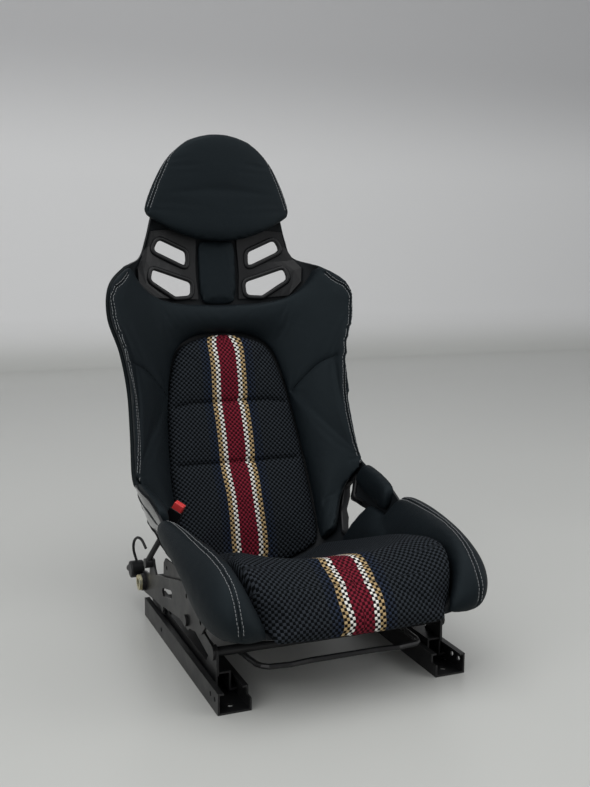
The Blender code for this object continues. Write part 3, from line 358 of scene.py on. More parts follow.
class Graph:
    """A material's nodes."""

    def __init__(self, name):
        self.material = bpy.data.materials.new(name)
        self.material.use_nodes = True
        self.nodes = self.material.node_tree.nodes
        self.nodes.clear()

    def feed(self, socket, value):
        if isinstance(value, Signal):
            self.material.node_tree.links.new(value.socket, socket)
        elif socket.type == "RGBA":
            socket.default_value = (*value, 1.0)
        else:
            socket.default_value = value

    def node(self, kind, settings=None, sockets=None, output=0):
        """Any node: its settings and a ramp's stops first, then its sockets."""
        made = self.nodes.new(kind)
        for name, value in (settings or {}).items():
            if name == "stops":
                self.set_stops(made.color_ramp, value)
            else:
                setattr(made, name, value)
        for key, value in (sockets or {}).items():
            self.feed(made.inputs[key], value)
        return Signal(self, made.outputs[output]) if len(made.outputs) else None

    def set_stops(self, ramp, stops):
        while len(ramp.elements) < len(stops):
            ramp.elements.new(1.0)
        for element, (place, colour) in zip(ramp.elements, stops):
            element.position = place
            element.color = (*colour, 1.0)

    def place(self):
        return self.node("ShaderNodeTexCoord", output="Object")

    def attribute(self, name):
        return self.node("ShaderNodeAttribute", {"attribute_name": name}, output="Fac")

    def noise(self, scale, detail=2.0):
        return self.node("ShaderNodeTexNoise", None, {
            "Vector": self.place(), "Scale": scale, "Detail": detail, "Roughness": 0.5})

    def creases(self, scale):
        """The distance to the edges between random cells."""
        return self.node("ShaderNodeTexVoronoi", {"feature": "DISTANCE_TO_EDGE"}, {
            "Vector": self.place(), "Scale": scale})

    def mixed(self, factor, first, second):
        return self.node("ShaderNodeMix", {"data_type": "RGBA", "blend_type": "MIX"},
                         {0: factor, 6: first, 7: second}, output=2)

    def mottled(self, cloud, colour, share):
        """A colour that goes to a share of itself and back with a cloud."""
        return self.mixed(cloud.spread(0.0, 1.0), colour, [c * share for c in colour])

    def bump(self, height, distance, strength=1.0, normal=None):
        sockets = {"Height": height, "Distance": distance, "Strength": strength}
        if normal is not None:
            sockets["Normal"] = normal
        return self.node("ShaderNodeBump", None, sockets)

    def finish(self, **sockets):
        """The surface shader; a socket's underscores stand for spaces."""
        named = {name.replace("_", " "): value for name, value in sockets.items()}
        shader = self.node("ShaderNodeBsdfPrincipled", None, named)
        self.node("ShaderNodeOutputMaterial", None, {"Surface": shader})
        return self.material


# ---- Finishes ------------------------------------------------------------------------

COOL = (0.74, 0.92, 1.0)     # the cast of light off the dark covers
BARE_STEEL = (0.16, 0.155, 0.15)
WORN_ZINC = ((0.66, 0.60, 0.38), (0.52, 0.52, 0.40))


def leather(colours):
    """Fine-grained black leather, dull in the grain's valleys, tight at the seams."""
    graph = Graph("cover_leather")
    creases = graph.creases(620.0)
    pores = graph.noise(1900.0)
    cloud = graph.noise(9.0, 4.0)
    grain = creases.scaled(0.0, 0.35, 0.0, 1.0) * 0.8 + pores * 0.35
    seam = graph.attribute("seam")
    closed = seam.step(0.0002, 0.0014)
    drawn = seam.scaled(0.0, 0.012, 0.0, 1.0)
    tone = graph.mottled(cloud, colours.leather, 1.22)
    tone = graph.mixed(closed, [c * 0.25 for c in colours.leather], tone)
    fold = graph.noise(34.0, 3.0)
    height = graph.bump(fold, 0.0035, 0.20)
    height = graph.bump(closed * 0.0016 + drawn * 0.0006, 1.0, 1.0, height)
    height = graph.bump(grain, 0.00016, 0.9, height)
    rough = cloud.spread(0.50, 0.60) + (1.0 - grain) * 0.04
    return graph.finish(
        Base_Color=tone, Roughness=rough, Normal=height, Specular_IOR_Level=0.17,
        Specular_Tint=COOL)


BAND_STARTS = (0, 4, 6, 8, 10, 12)     # checks from the middle of the stripe to each colour
RAMP_CHECKS = 20.0
DARK_SHARES = (0.14, 0.006, 0.012, 0.06, 0.06, 0.06)    # of each colour, in the dark checks


def weave(colours, check):
    """Two-tone basket weave with a centre stripe. The piece's map runs across and along it."""
    graph = Graph("check_weave")
    place = graph.node("ShaderNodeUVMap", {"uv_map": "weave"})
    across = graph.node("ShaderNodeSeparateXYZ", None, {"Vector": place}, output="X")
    along = Signal(graph, across.socket.node.outputs["Y"])
    turn = math.pi / check
    wave = (across * turn).sine() * (along * turn).sine()
    light = (wave * 2.6 + 0.42).scaled(0.0, 1.0, 0.0, 1.0)
    band = abs(across) * (1.0 / (RAMP_CHECKS * check))
    faded = [(a + b) / 2 for a, b in zip(colours.blue, colours.charcoal)]
    tones = (colours.red, colours.white, colours.tan, colours.blue, faded, colours.charcoal)
    stops = [(start / RAMP_CHECKS, tone) for start, tone in zip(BAND_STARTS, tones)]
    low = [(spot, [c * share for c in colour])
           for (spot, colour), share in zip(stops, DARK_SHARES)]
    bright, dark = (graph.node("ShaderNodeValToRGB", {"stops": ramp}, {"Fac": band})
                    for ramp in (stops, low))
    for ramp in (bright, dark):
        ramp.socket.node.color_ramp.interpolation = "CONSTANT"
    threads_a = (across * (turn * 10.0)).sine()
    threads_b = (along * (turn * 10.0)).sine()
    threads = threads_a * light + threads_b * (1.0 - light)
    uneven = graph.noise(420.0).spread(0.82, 1.16)
    colour = graph.mixed(light, dark, bright)
    shade = (threads * 0.10 + 0.92) * uneven
    tint = graph.node("ShaderNodeCombineXYZ", None, {0: shade, 1: shade, 2: shade})
    colour = graph.node("ShaderNodeVectorMath", {"operation": "MULTIPLY"}, {0: colour, 1: tint})
    pillow = abs(wave) ** 0.6
    seam = graph.attribute("seam").step(0.0002, 0.0022)
    height = graph.bump(seam, 0.0022)
    height = graph.bump(pillow + light * 0.25, 0.0007, 0.9, height)
    height = graph.bump(threads, 0.00012, 0.8, height)
    return graph.finish(Base_Color=colour, Roughness=0.82, Normal=height,
                        Specular_IOR_Level=0.07, Specular_Tint=COOL)


def laminate_finish(colours):
    """Black lacquer over laminate, with the slight waviness of a hand-laid face, and dull on
    the inside, where the covers sit."""
    graph = Graph("gloss_laminate")
    inside = graph.attribute("inside")
    wave = graph.noise(26.0)
    dust = graph.noise(900.0)
    tone = graph.mixed(dust.scaled(0.55, 0.75, 0.0, 1.0), colours.lacquer,
                       [c * 1.6 for c in colours.lacquer])
    tone = graph.mixed(inside, tone, colours.leather)
    rough = graph.noise(14.0, 3.0).spread(0.16, 0.26) + inside * 0.38
    height = graph.bump(wave, 0.0006, 0.25)
    return graph.finish(Base_Color=tone, Roughness=rough, Normal=height,
                        Coat_Weight=(1.0 - inside) * 0.8, Coat_Roughness=0.06,
                        Specular_IOR_Level=0.2)


def moulded_finish(colours):
    """Fine-textured moulded plastic."""
    graph = Graph("moulded_plastic")
    texture = graph.noise(1500.0, 3.0)
    cloud = graph.noise(18.0, 3.0)
    tone = graph.mottled(cloud, colours.plastic, 1.3)
    height = graph.bump(texture, 0.00015, 0.8)
    return graph.finish(Base_Color=tone, Roughness=cloud.spread(0.36, 0.46),
                        Normal=height, Specular_IOR_Level=0.28)


def edge_mask(graph, radius):
    """1 along a piece's edges, from how far a rounded normal leaves the true one."""
    soft = graph.node("ShaderNodeBevel", {"samples": 6}, {"Radius": radius})
    true = graph.node("ShaderNodeNewGeometry", output="Normal")
    match = graph.node("ShaderNodeVectorMath", {"operation": "DOT_PRODUCT"},
                       {0: soft, 1: true}, output="Value")
    return (1.0 - match).step(0.02, 0.16)


def steel_finish(colours):
    """Satin black coating on pressed steel, rubbed grey along its edges."""
    graph = Graph("coated_steel")
    edge = edge_mask(graph, 0.0012)
    scuff = graph.noise(150.0, 4.0).step(0.46, 0.62)
    worn = edge * scuff
    cloud = graph.noise(24.0, 4.0)
    tone = graph.mottled(cloud, colours.steel, 1.45)
    tone = graph.mixed(worn * 0.6, tone, BARE_STEEL)
    height = graph.bump(graph.noise(1100.0), 0.0001, 0.7)
    rough = cloud.spread(0.34, 0.46)
    return graph.finish(Base_Color=tone, Roughness=rough, Normal=height,
                        Metallic=worn * 0.8, Specular_IOR_Level=0.32)


def zinc_finish(colours):
    """Yellow zinc plate with a faint rainbow cast."""
    graph = Graph("yellow_zinc")
    cloud = graph.noise(60.0, 3.0)
    stops = zip((0.30, 0.50, 0.70), (colours.zinc, *WORN_ZINC))
    tone = graph.node("ShaderNodeValToRGB", {"stops": list(stops)}, {"Fac": cloud})
    height = graph.bump(graph.noise(700.0), 0.0001, 0.6)
    return graph.finish(Base_Color=tone, Roughness=cloud.spread(0.28, 0.42),
                        Metallic=1.0, Normal=height)


def red_finish(colours):
    """The release button: satin red plastic."""
    graph = Graph("button_red")
    cloud = graph.noise(80.0, 3.0)
    tone = graph.mottled(cloud, colours.button, 0.85)
    height = graph.bump(graph.noise(1400.0), 0.0001, 0.6)
    return graph.finish(Base_Color=tone, Roughness=0.36, Normal=height)


def thread_finish(colours):
    """Twisted sewing thread."""
    graph = Graph("thread")
    twist = graph.noise(1600.0)
    tone = graph.mixed(twist, [c * 0.6 for c in colours.thread], colours.thread)
    height = graph.bump(twist, 0.0002, 0.8)
    return graph.finish(Base_Color=tone, Roughness=0.6, Normal=height, Sheen_Weight=0.2)


FINISHES = {
    "cover_leather": leather, "gloss_laminate": laminate_finish,
    "moulded_plastic": moulded_finish, "coated_steel": steel_finish,
    "yellow_zinc": zinc_finish, "button_red": red_finish, "thread": thread_finish,
}


def look(name):
    """A finish by name, made once."""
    found = bpy.data.materials.get(name)
    if found is None:
        colours = bpy.context.scene.seat_colours
        if name == "check_weave":
            found = weave(colours, bpy.context.scene.seat_sewing.check)
        else:
            found = FINISHES[name](colours)
    return found


# ---- Covers --------------------------------------------------------------------------

SHELL = surface_tree(node_mesh("seat_shell"))
SIM_FRAMES = 20
VOXEL = 0.0045
DOUBLES = 0.00002


def soft_copy(name, node, fillings):
    """A node's mesh, with closed fillings that join it, as one even mesh of small quads."""
    shape = bmesh.new()
    shape.from_mesh(node_mesh(node))
    bmesh.ops.remove_doubles(shape, verts=shape.verts, dist=DOUBLES)
    for filling in fillings:
        shape.from_mesh(filling)
    thing = from_bmesh(name, shape)
    modifier(thing, "REMESH", mode="VOXEL", voxel_size=VOXEL)
    return applied(thing)


WING_RISE = Vector((0.16, -0.98, 0.12)).normalized()
EDGE_ENDS = (6.2, 12.7)      # stations between which the back cover's edge follows the rim
EDGE_STEP = 0.02
EDGE_BIN = 5                 # steps
EDGE_FADE = 0.035            # how far the change reaches inwards
EDGE_TAPER = 12              # steps over which it begins and ends
EDGE_SMOOTHING = 24
RUN_STEP = 0.05              # stations either side that give a rim's direction
WALL_X = 0.15                # beyond it, points may belong to a wall
WALL_HEIGHTS = (-0.003, 0.05)      # above the rim, where points move
WALL_BAND = (0.004, 0.030)   # above the rim, where the wall's place is measured
WALL_REACH = 0.06
NO_WALL = -0.03              # a stretch this far inside the rim has no wall to move


def wall_frame(u, side):
    """A rim's point, and the directions out of it and up the cover's wall."""
    rise = Vector((side * WING_RISE.x, WING_RISE.y, WING_RISE.z))
    run = (bucket(u + RUN_STEP, side) - bucket(u - RUN_STEP, side)).normalized()
    out = run.cross(rise).normalized()
    return bucket(u, side), out if out.x * side > 0 else -out, rise


def trued_edge(thing):
    """Evens out the back cover's outer walls, which then stand on the shell's rims."""
    group = thing.vertex_groups.new(name="walls")
    for index, weight in walled(thing):
        group.add([index], weight, "REPLACE")
    modifier(thing, "SMOOTH", vertex_group=group.name, factor=0.5, iterations=EDGE_SMOOTHING)
    applied(thing)
    thing.vertex_groups.clear()
    walled(thing)


def walled(thing):
    """Moves the back cover's outer walls onto the rims and returns how near each point is."""
    weights = []
    first, last = EDGE_ENDS
    count = round((last - first) / EDGE_STEP)
    for _, side in SIDES:
        frames = [wall_frame(first + i * EDGE_STEP, side) for i in range(count + 1)]
        tree = point_tree([[spot for spot, _, _ in frames]])
        rise = frames[0][2]
        found = []
        bins = [-1.0] * (len(frames) // EDGE_BIN + 1)
        for vertex in thing.data.vertices:
            if vertex.co.x * side < WALL_X:
                continue
            tall = (vertex.co - tree.find(vertex.co)[0]).dot(rise)
            foot = vertex.co - rise * tall
            spot, index, off = tree.find(foot)
            on_wall = WALL_HEIGHTS[0] <= tall <= WALL_HEIGHTS[1] and off <= WALL_REACH
            if not 0 < index < count or not on_wall:
                continue
            lateral = (foot - spot).dot(frames[index][1])
            found.append((vertex, index, lateral))
            if WALL_BAND[0] < tall < WALL_BAND[1]:
                place = index // EDGE_BIN
                bins[place] = max(bins[place], lateral)
        for vertex, index, lateral in found:
            place = index / EDGE_BIN - 0.5
            low = min(max(int(place), 0), len(bins) - 2)
            share = clamped(place - low)
            edge = bins[low] * (1 - share) + bins[low + 1] * share
            if edge < NO_WALL:
                continue
            near = clamped(1.0 + (lateral - edge) / EDGE_FADE)
            ends = min(1.0, index / EDGE_TAPER, (count - index) / EDGE_TAPER)
            near = near * near * (3 - 2 * near) * ends
            vertex.co -= frames[index][1] * edge * near
            weights.append((vertex.index, near))
    return weights


def positions(thing):
    return [vertex.co.copy() for vertex in thing.data.vertices]


REST_GAP = 0.0015            # a point this near the shell rests on it
REST_FADE = 0.0040
REST_LEAN = 0.2              # how far its normal must point at the shell
REST_LEAN_FADE = 0.5


def eased(thing, repeats, solid):
    """Smooths the facets away. The side that rests on the shell stays on the solid's face."""
    rest = positions(thing)
    normals = [vertex.normal.copy() for vertex in thing.data.vertices]
    modifier(thing, "SMOOTH", factor=0.5, iterations=repeats)
    applied(thing)
    held = []
    for vertex, old, normal in zip(thing.data.vertices, rest, normals):
        spot, _, _, off = SHELL.find_nearest(old)
        toward = normal.dot((spot - old).normalized())
        keep = 1.0 - clamped((off - REST_GAP) / REST_FADE)
        keep *= clamped((toward - REST_LEAN) / REST_LEAN_FADE)
        if keep > 0.0:
            vertex.co = vertex.co.lerp(solid.find_nearest(vertex.co)[0], keep)
        held.append(keep)
    return held


SEAM_HOLD = 0.002            # a point this near a seam is held by it
SEAM_HOLD_FADE = 0.003


def puffed(thing, held, seam, cap, pressure):
    """Blows a cover up as cloth that is held at its seams and where it rests on the shell."""
    before = positions(thing)
    pins = thing.vertex_groups.new(name="held")
    for index, keep in enumerate(held):
        off = seam_distance(seam, before[index])
        hold = max(keep, 1.0 - clamped((off - SEAM_HOLD) / SEAM_HOLD_FADE))
        if hold > 0.0:
            pins.add([index], hold, "REPLACE")
    step = modifier(thing, "CLOTH")
    settings = step.settings
    settings.quality = 5
    settings.use_pressure = True
    settings.uniform_pressure_force = pressure
    settings.effector_weights.gravity = 0.0
    settings.vertex_group_mass = "held"
    settings.tension_stiffness = 15.0
    settings.compression_stiffness = 15.0
    settings.bending_stiffness = 0.6
    step.collision_settings.use_collision = False
    step.collision_settings.use_self_collision = False
    step.point_cache.frame_start = 1
    step.point_cache.frame_end = SIM_FRAMES
    scene = bpy.context.scene
    for number in range(1, SIM_FRAMES + 1):
        scene.frame_set(number)
    applied(thing)
    scene.frame_set(1)
    thing.vertex_groups.clear()
    for vertex, old in zip(thing.data.vertices, before):
        move = vertex.co - old
        if move.length > cap:
            vertex.co = old + move * (cap / move.length)


def refined(thing):
    modifier(thing, "SUBSURF", levels=1, render_levels=1)
    applied(thing)
    thing.data.shade_smooth()


LINE_STEP = 0.001            # from point to point along a seam
CURVE_STEPS = 60


def line_through(points):
    """Evenly spaced points along a smooth curve through a few."""
    count = CURVE_STEPS * (len(points) - 1)
    fine = [between(points, i * (len(points) - 1) / count) for i in range(count + 1)]
    line = [fine[0]]
    run = 0.0
    for a, b in zip(fine, fine[1:]):
        length = (b - a).length
        while run + length >= LINE_STEP:
            a = a.lerp(b, (LINE_STEP - run) / length)
            line.append(a.copy())
            length = (b - a).length
            run = 0.0
        run += length
    return line


def shifted(points, side):
    """Points given from the bight, on one side, in the row frame."""
    return [Vector((side * x, y + BIGHT_Y, z)) for x, y, z in points]


def point_tree(lines):
    """A search tree over all points of all lines."""
    points = [spot for line in lines for spot in line]
    tree = KDTree(len(points))
    for index, spot in enumerate(points):
        tree.insert(spot, index)
    tree.balance()
    return tree


def laid_on(thing, lines):
    """Seam lines laid on a piece, and a search tree over their points."""
    tree = surface_tree(thing.data)
    laid = [[tree.find_nearest(point)[0] for point in line] for line in lines]
    return laid, point_tree(laid) if laid else None


def seam_distance(seam, place):
    """How far a place is from the nearest seam; a metre where a cover has none."""
    return 1.0 if seam is None else seam.find(place)[2]


def grooved(thing, seam, depth, reach):
    """Draws a cover in along its seams and records each point's distance to them."""
    data = thing.data
    normals = [vertex.normal.copy() for vertex in data.vertices]
    distances = [seam_distance(seam, vertex.co) for vertex in data.vertices]
    for vertex, normal, off in zip(data.vertices, normals, distances):
        if off < 3 * reach:
            vertex.co -= normal * depth * math.exp(-(off / reach) ** 2)
    layer = data.attributes.new("seam", "FLOAT", "POINT")
    layer.data.foreach_set("value", distances)


STITCH_RUN = 0.002           # either side of a stitch, to find its direction on the cover
STITCH_LIFT = 0.25           # of the thread's thickness


def stitch_rows(name, thing, lines, offset):
    """A row of short rounded stitches on each side of the seams, at an offset."""
    sewing = bpy.context.scene.seat_sewing
    tree = surface_tree(thing.data)
    shape = bmesh.new()
    one = stitch_template(sewing.stitch, sewing.thread)
    every = max(2, round(sewing.pitch / LINE_STEP))
    for line in lines:
        for gap in (-offset, offset):
            for i in range(every, len(line) - every, every):
                run = (line[i + 2] - line[i - 2]).normalized()
                spot, normal, _, _ = tree.find_nearest(line[i])
                side = normal.cross(run).normalized()
                spot, normal, _, _ = tree.find_nearest(spot + side * gap)
                ahead = tree.find_nearest(spot + run * STITCH_RUN)[0]
                behind = tree.find_nearest(spot - run * STITCH_RUN)[0]
                run = (ahead - behind).normalized()
                side = normal.cross(run).normalized()
                up = run.cross(side)
                turn = Matrix((run, side, up)).transposed().to_4x4()
                lift = Matrix.Translation(spot + up * sewing.thread * STITCH_LIFT)
                start = len(shape.verts)
                shape.from_mesh(one)
                shape.verts.ensure_lookup_table()
                bmesh.ops.transform(shape, matrix=lift @ turn, verts=shape.verts[start:])
    bpy.data.meshes.remove(one)
    rows = from_bmesh(name, shape)
    rows.data.shade_smooth()
    placed(rows, "thread")


def stitch_template(length, width):
    """One stitch, along X."""
    shape = bmesh.new()
    bmesh.ops.create_cube(shape, size=1.0)
    bmesh.ops.scale(shape, vec=(length, width, width * 0.9), verts=shape.verts)
    bmesh.ops.bevel(shape, geom=shape.edges[:], offset=width * 0.3, segments=1, profile=0.5,
                    affect="EDGES", material=-1)
    data = bpy.data.meshes.new("stitch")
    shape.to_mesh(data)
    shape.free()
    return data


SAG_SHARE = 0.667            # of the rise squared over the half width: a curve's extra length
SAG_WIDTH = 0.03             # the least half width that counts for it
SAG_MOST = 0.03


def weave_map(thing, route):
    """Writes the weave's map: metres across from the middle, and along the route (y, z)."""
    lengths = [0.0]
    for a, b in zip(route, route[1:]):
        lengths.append(lengths[-1] + (b - a).length)
    across = []
    along = []
    for vertex in thing.data.vertices:
        place = Vector((vertex.co.y, vertex.co.z))
        best = None
        for i, (a, b) in enumerate(zip(route, route[1:])):
            run = b - a
            t = (place - a).dot(run) / run.length_squared
            if i > 0:
                t = max(t, 0.0)
            if i < len(route) - 2:
                t = min(t, 1.0)
            off = (place - a - run * t).length
            if best is None or off < best[0]:
                best = (off, lengths[i] + t * run.length)
        x = abs(vertex.co.x)
        extra = min(SAG_SHARE * best[0] ** 2 / max(x, SAG_WIDTH), SAG_MOST)
        across.append(math.copysign(x + extra, vertex.co.x))
        along.append(best[1])
    layer = thing.data.uv_layers.new(name="weave")
    for loop in thing.data.loops:
        layer.data[loop.index].uv = (across[loop.vertex_index], along[loop.vertex_index])


def cover(name, node, lines=(), *, cap, ease=10, depth=0.0016, reach=0.0035, route=(),
          fillings=(), finish_edge=None):
    """A padded cover from its CAD solid: leather, or woven where it has a route. It is smoothed
    ease times, puffed by at most the cap, and grooved along its seam lines."""
    thing = soft_copy(name, node, fillings)
    held = eased(thing, ease, surface_tree(node_mesh(node), *fillings))
    if finish_edge is not None:
        finish_edge(thing)
    lines, seam = laid_on(thing, lines)
    puffed(thing, held, seam, cap, bpy.context.scene.seat_sewing.pressure)
    refined(thing)
    lines, seam = laid_on(thing, lines)
    grooved(thing, seam, depth, reach)
    if route:
        weave_map(thing, route)
        placed(thing, "check_weave")
    else:
        placed(thing, "cover_leather")
    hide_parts(node)
    return thing, lines


# Seam routes on the right-hand side, from the bight (x, y, z)
COVER_SEAM = (               # station, and how far in from the outer wall
    (5.98, 0.016), (6.30, 0.022), (6.80, 0.024), (7.40, 0.024), (8.30, 0.022), (9.20, 0.020),
    (10.20, 0.020), (11.20, 0.019), (12.00, 0.017), (12.55, 0.014),
)
DIAGONAL_SEAM = (
    (0.222, 0.086, 0.499), (0.192, 0.107, 0.480), (0.165, 0.120, 0.452), (0.139, 0.137, 0.416),
)
HEAD_SEAM = (
    (0.040, 0.232, 0.962), (0.083, 0.226, 0.937), (0.104, 0.222, 0.917), (0.129, 0.216, 0.873),
    (0.145, 0.213, 0.835), (0.158, 0.212, 0.800),
)
BOLSTER_SEAM = (
    (0.228, -0.190, 0.258), (0.230, -0.240, 0.258), (0.229, -0.304, 0.256),
    (0.226, -0.370, 0.252), (0.220, -0.420, 0.245), (0.216, -0.462, 0.236),
    (0.213, -0.495, 0.220), (0.212, -0.512, 0.200), (0.211, -0.524, 0.173),
    (0.207, -0.524, 0.145),
)
INSERT_CHANNELS = (10.58, 12.05)
INSERT_STATIONS = [8.0 + 0.25 * i for i in range(30)]
INSERT_HALF = 0.44
BACK_PAD = 0.037
SEAM_OFFSET = 0.0033         # from a seam to the stitches beside it
BOLSTER_OFFSET = 0.0042


def wing_seam(side):
    """The seam beside the back cover's outer wall."""
    points = []
    for u, inset in COVER_SEAM:
        rim, out, rise = wall_frame(u, side)
        points.append(rim + rise * BACK_PAD - out * inset)
    return line_through(points)


def both_sides(points):
    return [line_through(shifted(points, side)) for _, side in SIDES]


def channel_line(u):
    """A sewn channel straight across the insert at a station."""
    points = []
    for i in range(9):
        v = INSERT_HALF * (i / 4 - 1)
        points.append(bucket(u, v) + facing(u, v) * BACK_PAD)
    return line_through(points)


# ---- Settings ------------------------------------------------------------------------

def colour_property(name, words, value):
    return bpy.props.FloatVectorProperty(
        name=name, description=words, default=value, size=3, min=0.0, max=1.0,
        subtype="COLOR")


def length_property(name, words, value):
    return bpy.props.FloatProperty(
        name=name, description=words, default=value, min=0.0001, max=0.1, unit="LENGTH",
        subtype="DISTANCE", precision=5)


class SeatColours(bpy.types.PropertyGroup):
    """Colours of the seat's finishes"""

    leather: colour_property("Leather", "Cover leather", (0.0034, 0.0050, 0.0064))
    red: colour_property("Stripe red", "Middle of the centre stripe", (0.190, 0.016, 0.030))
    white: colour_property("Stripe white", "Pale checks of the stripe", (0.82, 0.80, 0.74))
    tan: colour_property("Stripe tan", "Sand checks of the stripe", (0.46, 0.33, 0.17))
    blue: colour_property("Stripe blue", "Outer checks of the stripe", (0.020, 0.027, 0.047))
    charcoal: colour_property("Charcoal", "Pale checks of the plain weave",
                              (0.026, 0.030, 0.036))
    lacquer: colour_property("Lacquer", "Shell lacquer", (0.006, 0.006, 0.007))
    plastic: colour_property("Plastic", "Slot bezels and buckle", (0.0034, 0.0038, 0.0044))
    steel: colour_property("Steel", "Runner and linkage coating", (0.0065, 0.0066, 0.0070))
    zinc: colour_property("Zinc", "Yellow zinc plate", (0.72, 0.58, 0.25))
    button: colour_property("Button", "Buckle button", (0.62, 0.045, 0.045))
    thread: colour_property("Thread", "Sewing thread", (0.20, 0.21, 0.215))
    floor: colour_property("Floor", "Floor under the seat", (0.47, 0.475, 0.455))


class SeatSewing(bpy.types.PropertyGroup):
    """Sizes of the weave and the sewing"""

    check: length_property("Check", "Width of one check of the weave", 0.0049)
    stitch: length_property("Stitch", "Length of one stitch", 0.0046)
    pitch: length_property("Pitch", "From one stitch to the next", 0.006)
    thread: length_property("Thread", "Thickness of the thread", 0.0010)
    pressure: bpy.props.FloatProperty(
        name="Pressure", description="How hard the covers are blown up", default=4.0, min=0.0,
        max=20.0)


# ---- Operators -----------------------------------------------------------------------

class SEAT_OT_stage(bpy.types.Operator):
    """Camera, soft lights, floor and backdrop"""

    bl_idname = "seat.stage"
    bl_label = "Stage"

    def execute(self, context):
        add_camera(context.scene)
        add_lights(context.scene)
        add_floor(context.scene.seat_colours.floor)
        return {"FINISHED"}


CAMERA_PLACE = Vector((-0.6925, -1.7586, 0.7460))
CAMERA_YAW = -0.39201
CAMERA_PITCH = 0.15148
CAMERA_ROLL = 0.00962
FOCAL_PIXELS = 1014.56
PICTURE_HEIGHT = 787
SENSOR = 36.0


def add_camera(scene):
    lens = bpy.data.cameras.new("photo_camera")
    lens.sensor_width = SENSOR
    lens.lens = FOCAL_PIXELS * SENSOR / PICTURE_HEIGHT
    camera = bpy.data.objects.new("photo_camera", lens)
    scene.collection.objects.link(camera)
    level = math.cos(CAMERA_PITCH)
    ahead = Vector((-math.sin(CAMERA_YAW) * level, math.cos(CAMERA_YAW) * level,
                    -math.sin(CAMERA_PITCH)))
    right = Vector((math.cos(CAMERA_YAW), math.sin(CAMERA_YAW), 0.0))
    up = right.cross(ahead)
    tilted = right * math.cos(CAMERA_ROLL) + up * math.sin(CAMERA_ROLL)
    top = up * math.cos(CAMERA_ROLL) - right * math.sin(CAMERA_ROLL)
    turn = Matrix((tilted, top, -ahead)).transposed().to_4x4()
    camera.matrix_world = Matrix.Translation(CAMERA_PLACE) @ turn
    scene.camera = camera


LAMPS = (                    # name, place, aim, size and power
    ("ceiling", (-0.4, -0.6, 3.2), (0.0, 0.0, 0.4), 3.2, 62.0),
    ("window", (-3.0, -1.6, 1.8), (0.0, 0.0, 0.5), 2.4, 36.0),
    ("side", (2.9, -1.8, 2.0), (0.3, 0.6, 0.4), 2.2, 34.0),
)
AIR = (0.92, 0.93, 0.95, 1.0)
AIR_LEVEL = 0.55


def add_lights(scene):
    for name, place, aim, size, power in LAMPS:
        lamp = bpy.data.lights.new(name, "AREA")
        lamp.size = size
        lamp.energy = power
        thing = bpy.data.objects.new(name, lamp)
        scene.collection.objects.link(thing)
        thing.location = place
        aimed = (Vector(aim) - Vector(place)).to_track_quat("-Z", "Y")
        thing.rotation_euler = aimed.to_euler()
    world = bpy.data.worlds.new("studio")
    scene.world = world
    world.use_nodes = True
    background = world.node_tree.nodes["Background"]
    background.inputs["Color"].default_value = AIR
    background.inputs["Strength"].default_value = AIR_LEVEL
    scene.view_settings.view_transform = "Standard"


WALL = (0.78, 0.78, 0.78)
# Painted shade: the backdrop's colour darkens to this towards its top, standing in for the
# light that falls off higher up.
PAINTED_SHADE_WALL_TOP = (0.53, 0.53, 0.535)
FLOOR_HALF_WIDTH = 18.0
COVE = 0.25                  # radius between the floor and the backdrop
BACKDROP_Y = 3.9             # where the floor begins to turn up
BACKDROP = (                 # (y, z) from the front of the floor to the backdrop's top
    [(-4.0 + 0.79 * i, 0.0) for i in range(10)]
    + [(BACKDROP_Y + COVE * math.sin(a * math.pi / 20),
        COVE * (1.0 - math.cos(a * math.pi / 20))) for a in range(1, 11)]
    + [(BACKDROP_Y + COVE, COVE + 0.9 * i) for i in range(1, 6)]
)


def add_floor(colour):
    graph = Graph("floor_paint")
    cloud = graph.noise(1.4, 3.0)
    tone = graph.mottled(cloud, colour, 1.03)
    height = graph.node("ShaderNodeSeparateXYZ", None, {"Vector": graph.place()}, output="Z")
    tone = graph.mixed(height.step(0.0, 0.3), tone, WALL)
    # painted shade: from 1.1 m to 1.9 m up, the backdrop darkens to its top colour
    tone = graph.mixed(height.step(1.1, 1.9), tone, PAINTED_SHADE_WALL_TOP)
    rough = cloud.spread(0.28, 0.32) + height.step(0.0, 0.2) * 0.4
    paint = graph.finish(Base_Color=tone, Roughness=rough, Specular_IOR_Level=0.5)
    shape = bmesh.new()
    bmesh.ops.create_grid(shape, x_segments=8, y_segments=len(BACKDROP) - 1, size=1.0)
    for vertex in shape.verts:
        row = round((vertex.co.y + 1.0) / 2 * (len(BACKDROP) - 1))
        vertex.co = Vector((vertex.co.x * FLOOR_HALF_WIDTH, *BACKDROP[row]))
    floor = from_bmesh("floor", shape)
    floor.data.shade_smooth()
    floor.data.materials.append(paint)


class SEAT_OT_shell(bpy.types.Operator):
    """The lacquered bucket shell with its slots and bosses"""

    bl_idname = "seat.shell"
    bl_label = "Shell"

    def execute(self, context):
        build_shell()
        return {"FINISHED"}


RIM_ROUND = 0.0018
RIM_ANGLE = math.radians(60)
SHARP_ANGLE = math.radians(50)
SLOT_MARGIN = 0.0015         # the shell's openings are this much wider than the bezels
HARNESS_ROUND = 0.009
HARNESS_CUT = (0.12 + BIGHT_Y, 0.28 + BIGHT_Y)
LAP_ROUND = 0.010
LAP_CUT = (0.155, 0.275)
INSIDE_DEPTH = 0.001         # the inner face's look ends this deep in the wall
INSIDE_FADE = 0.003


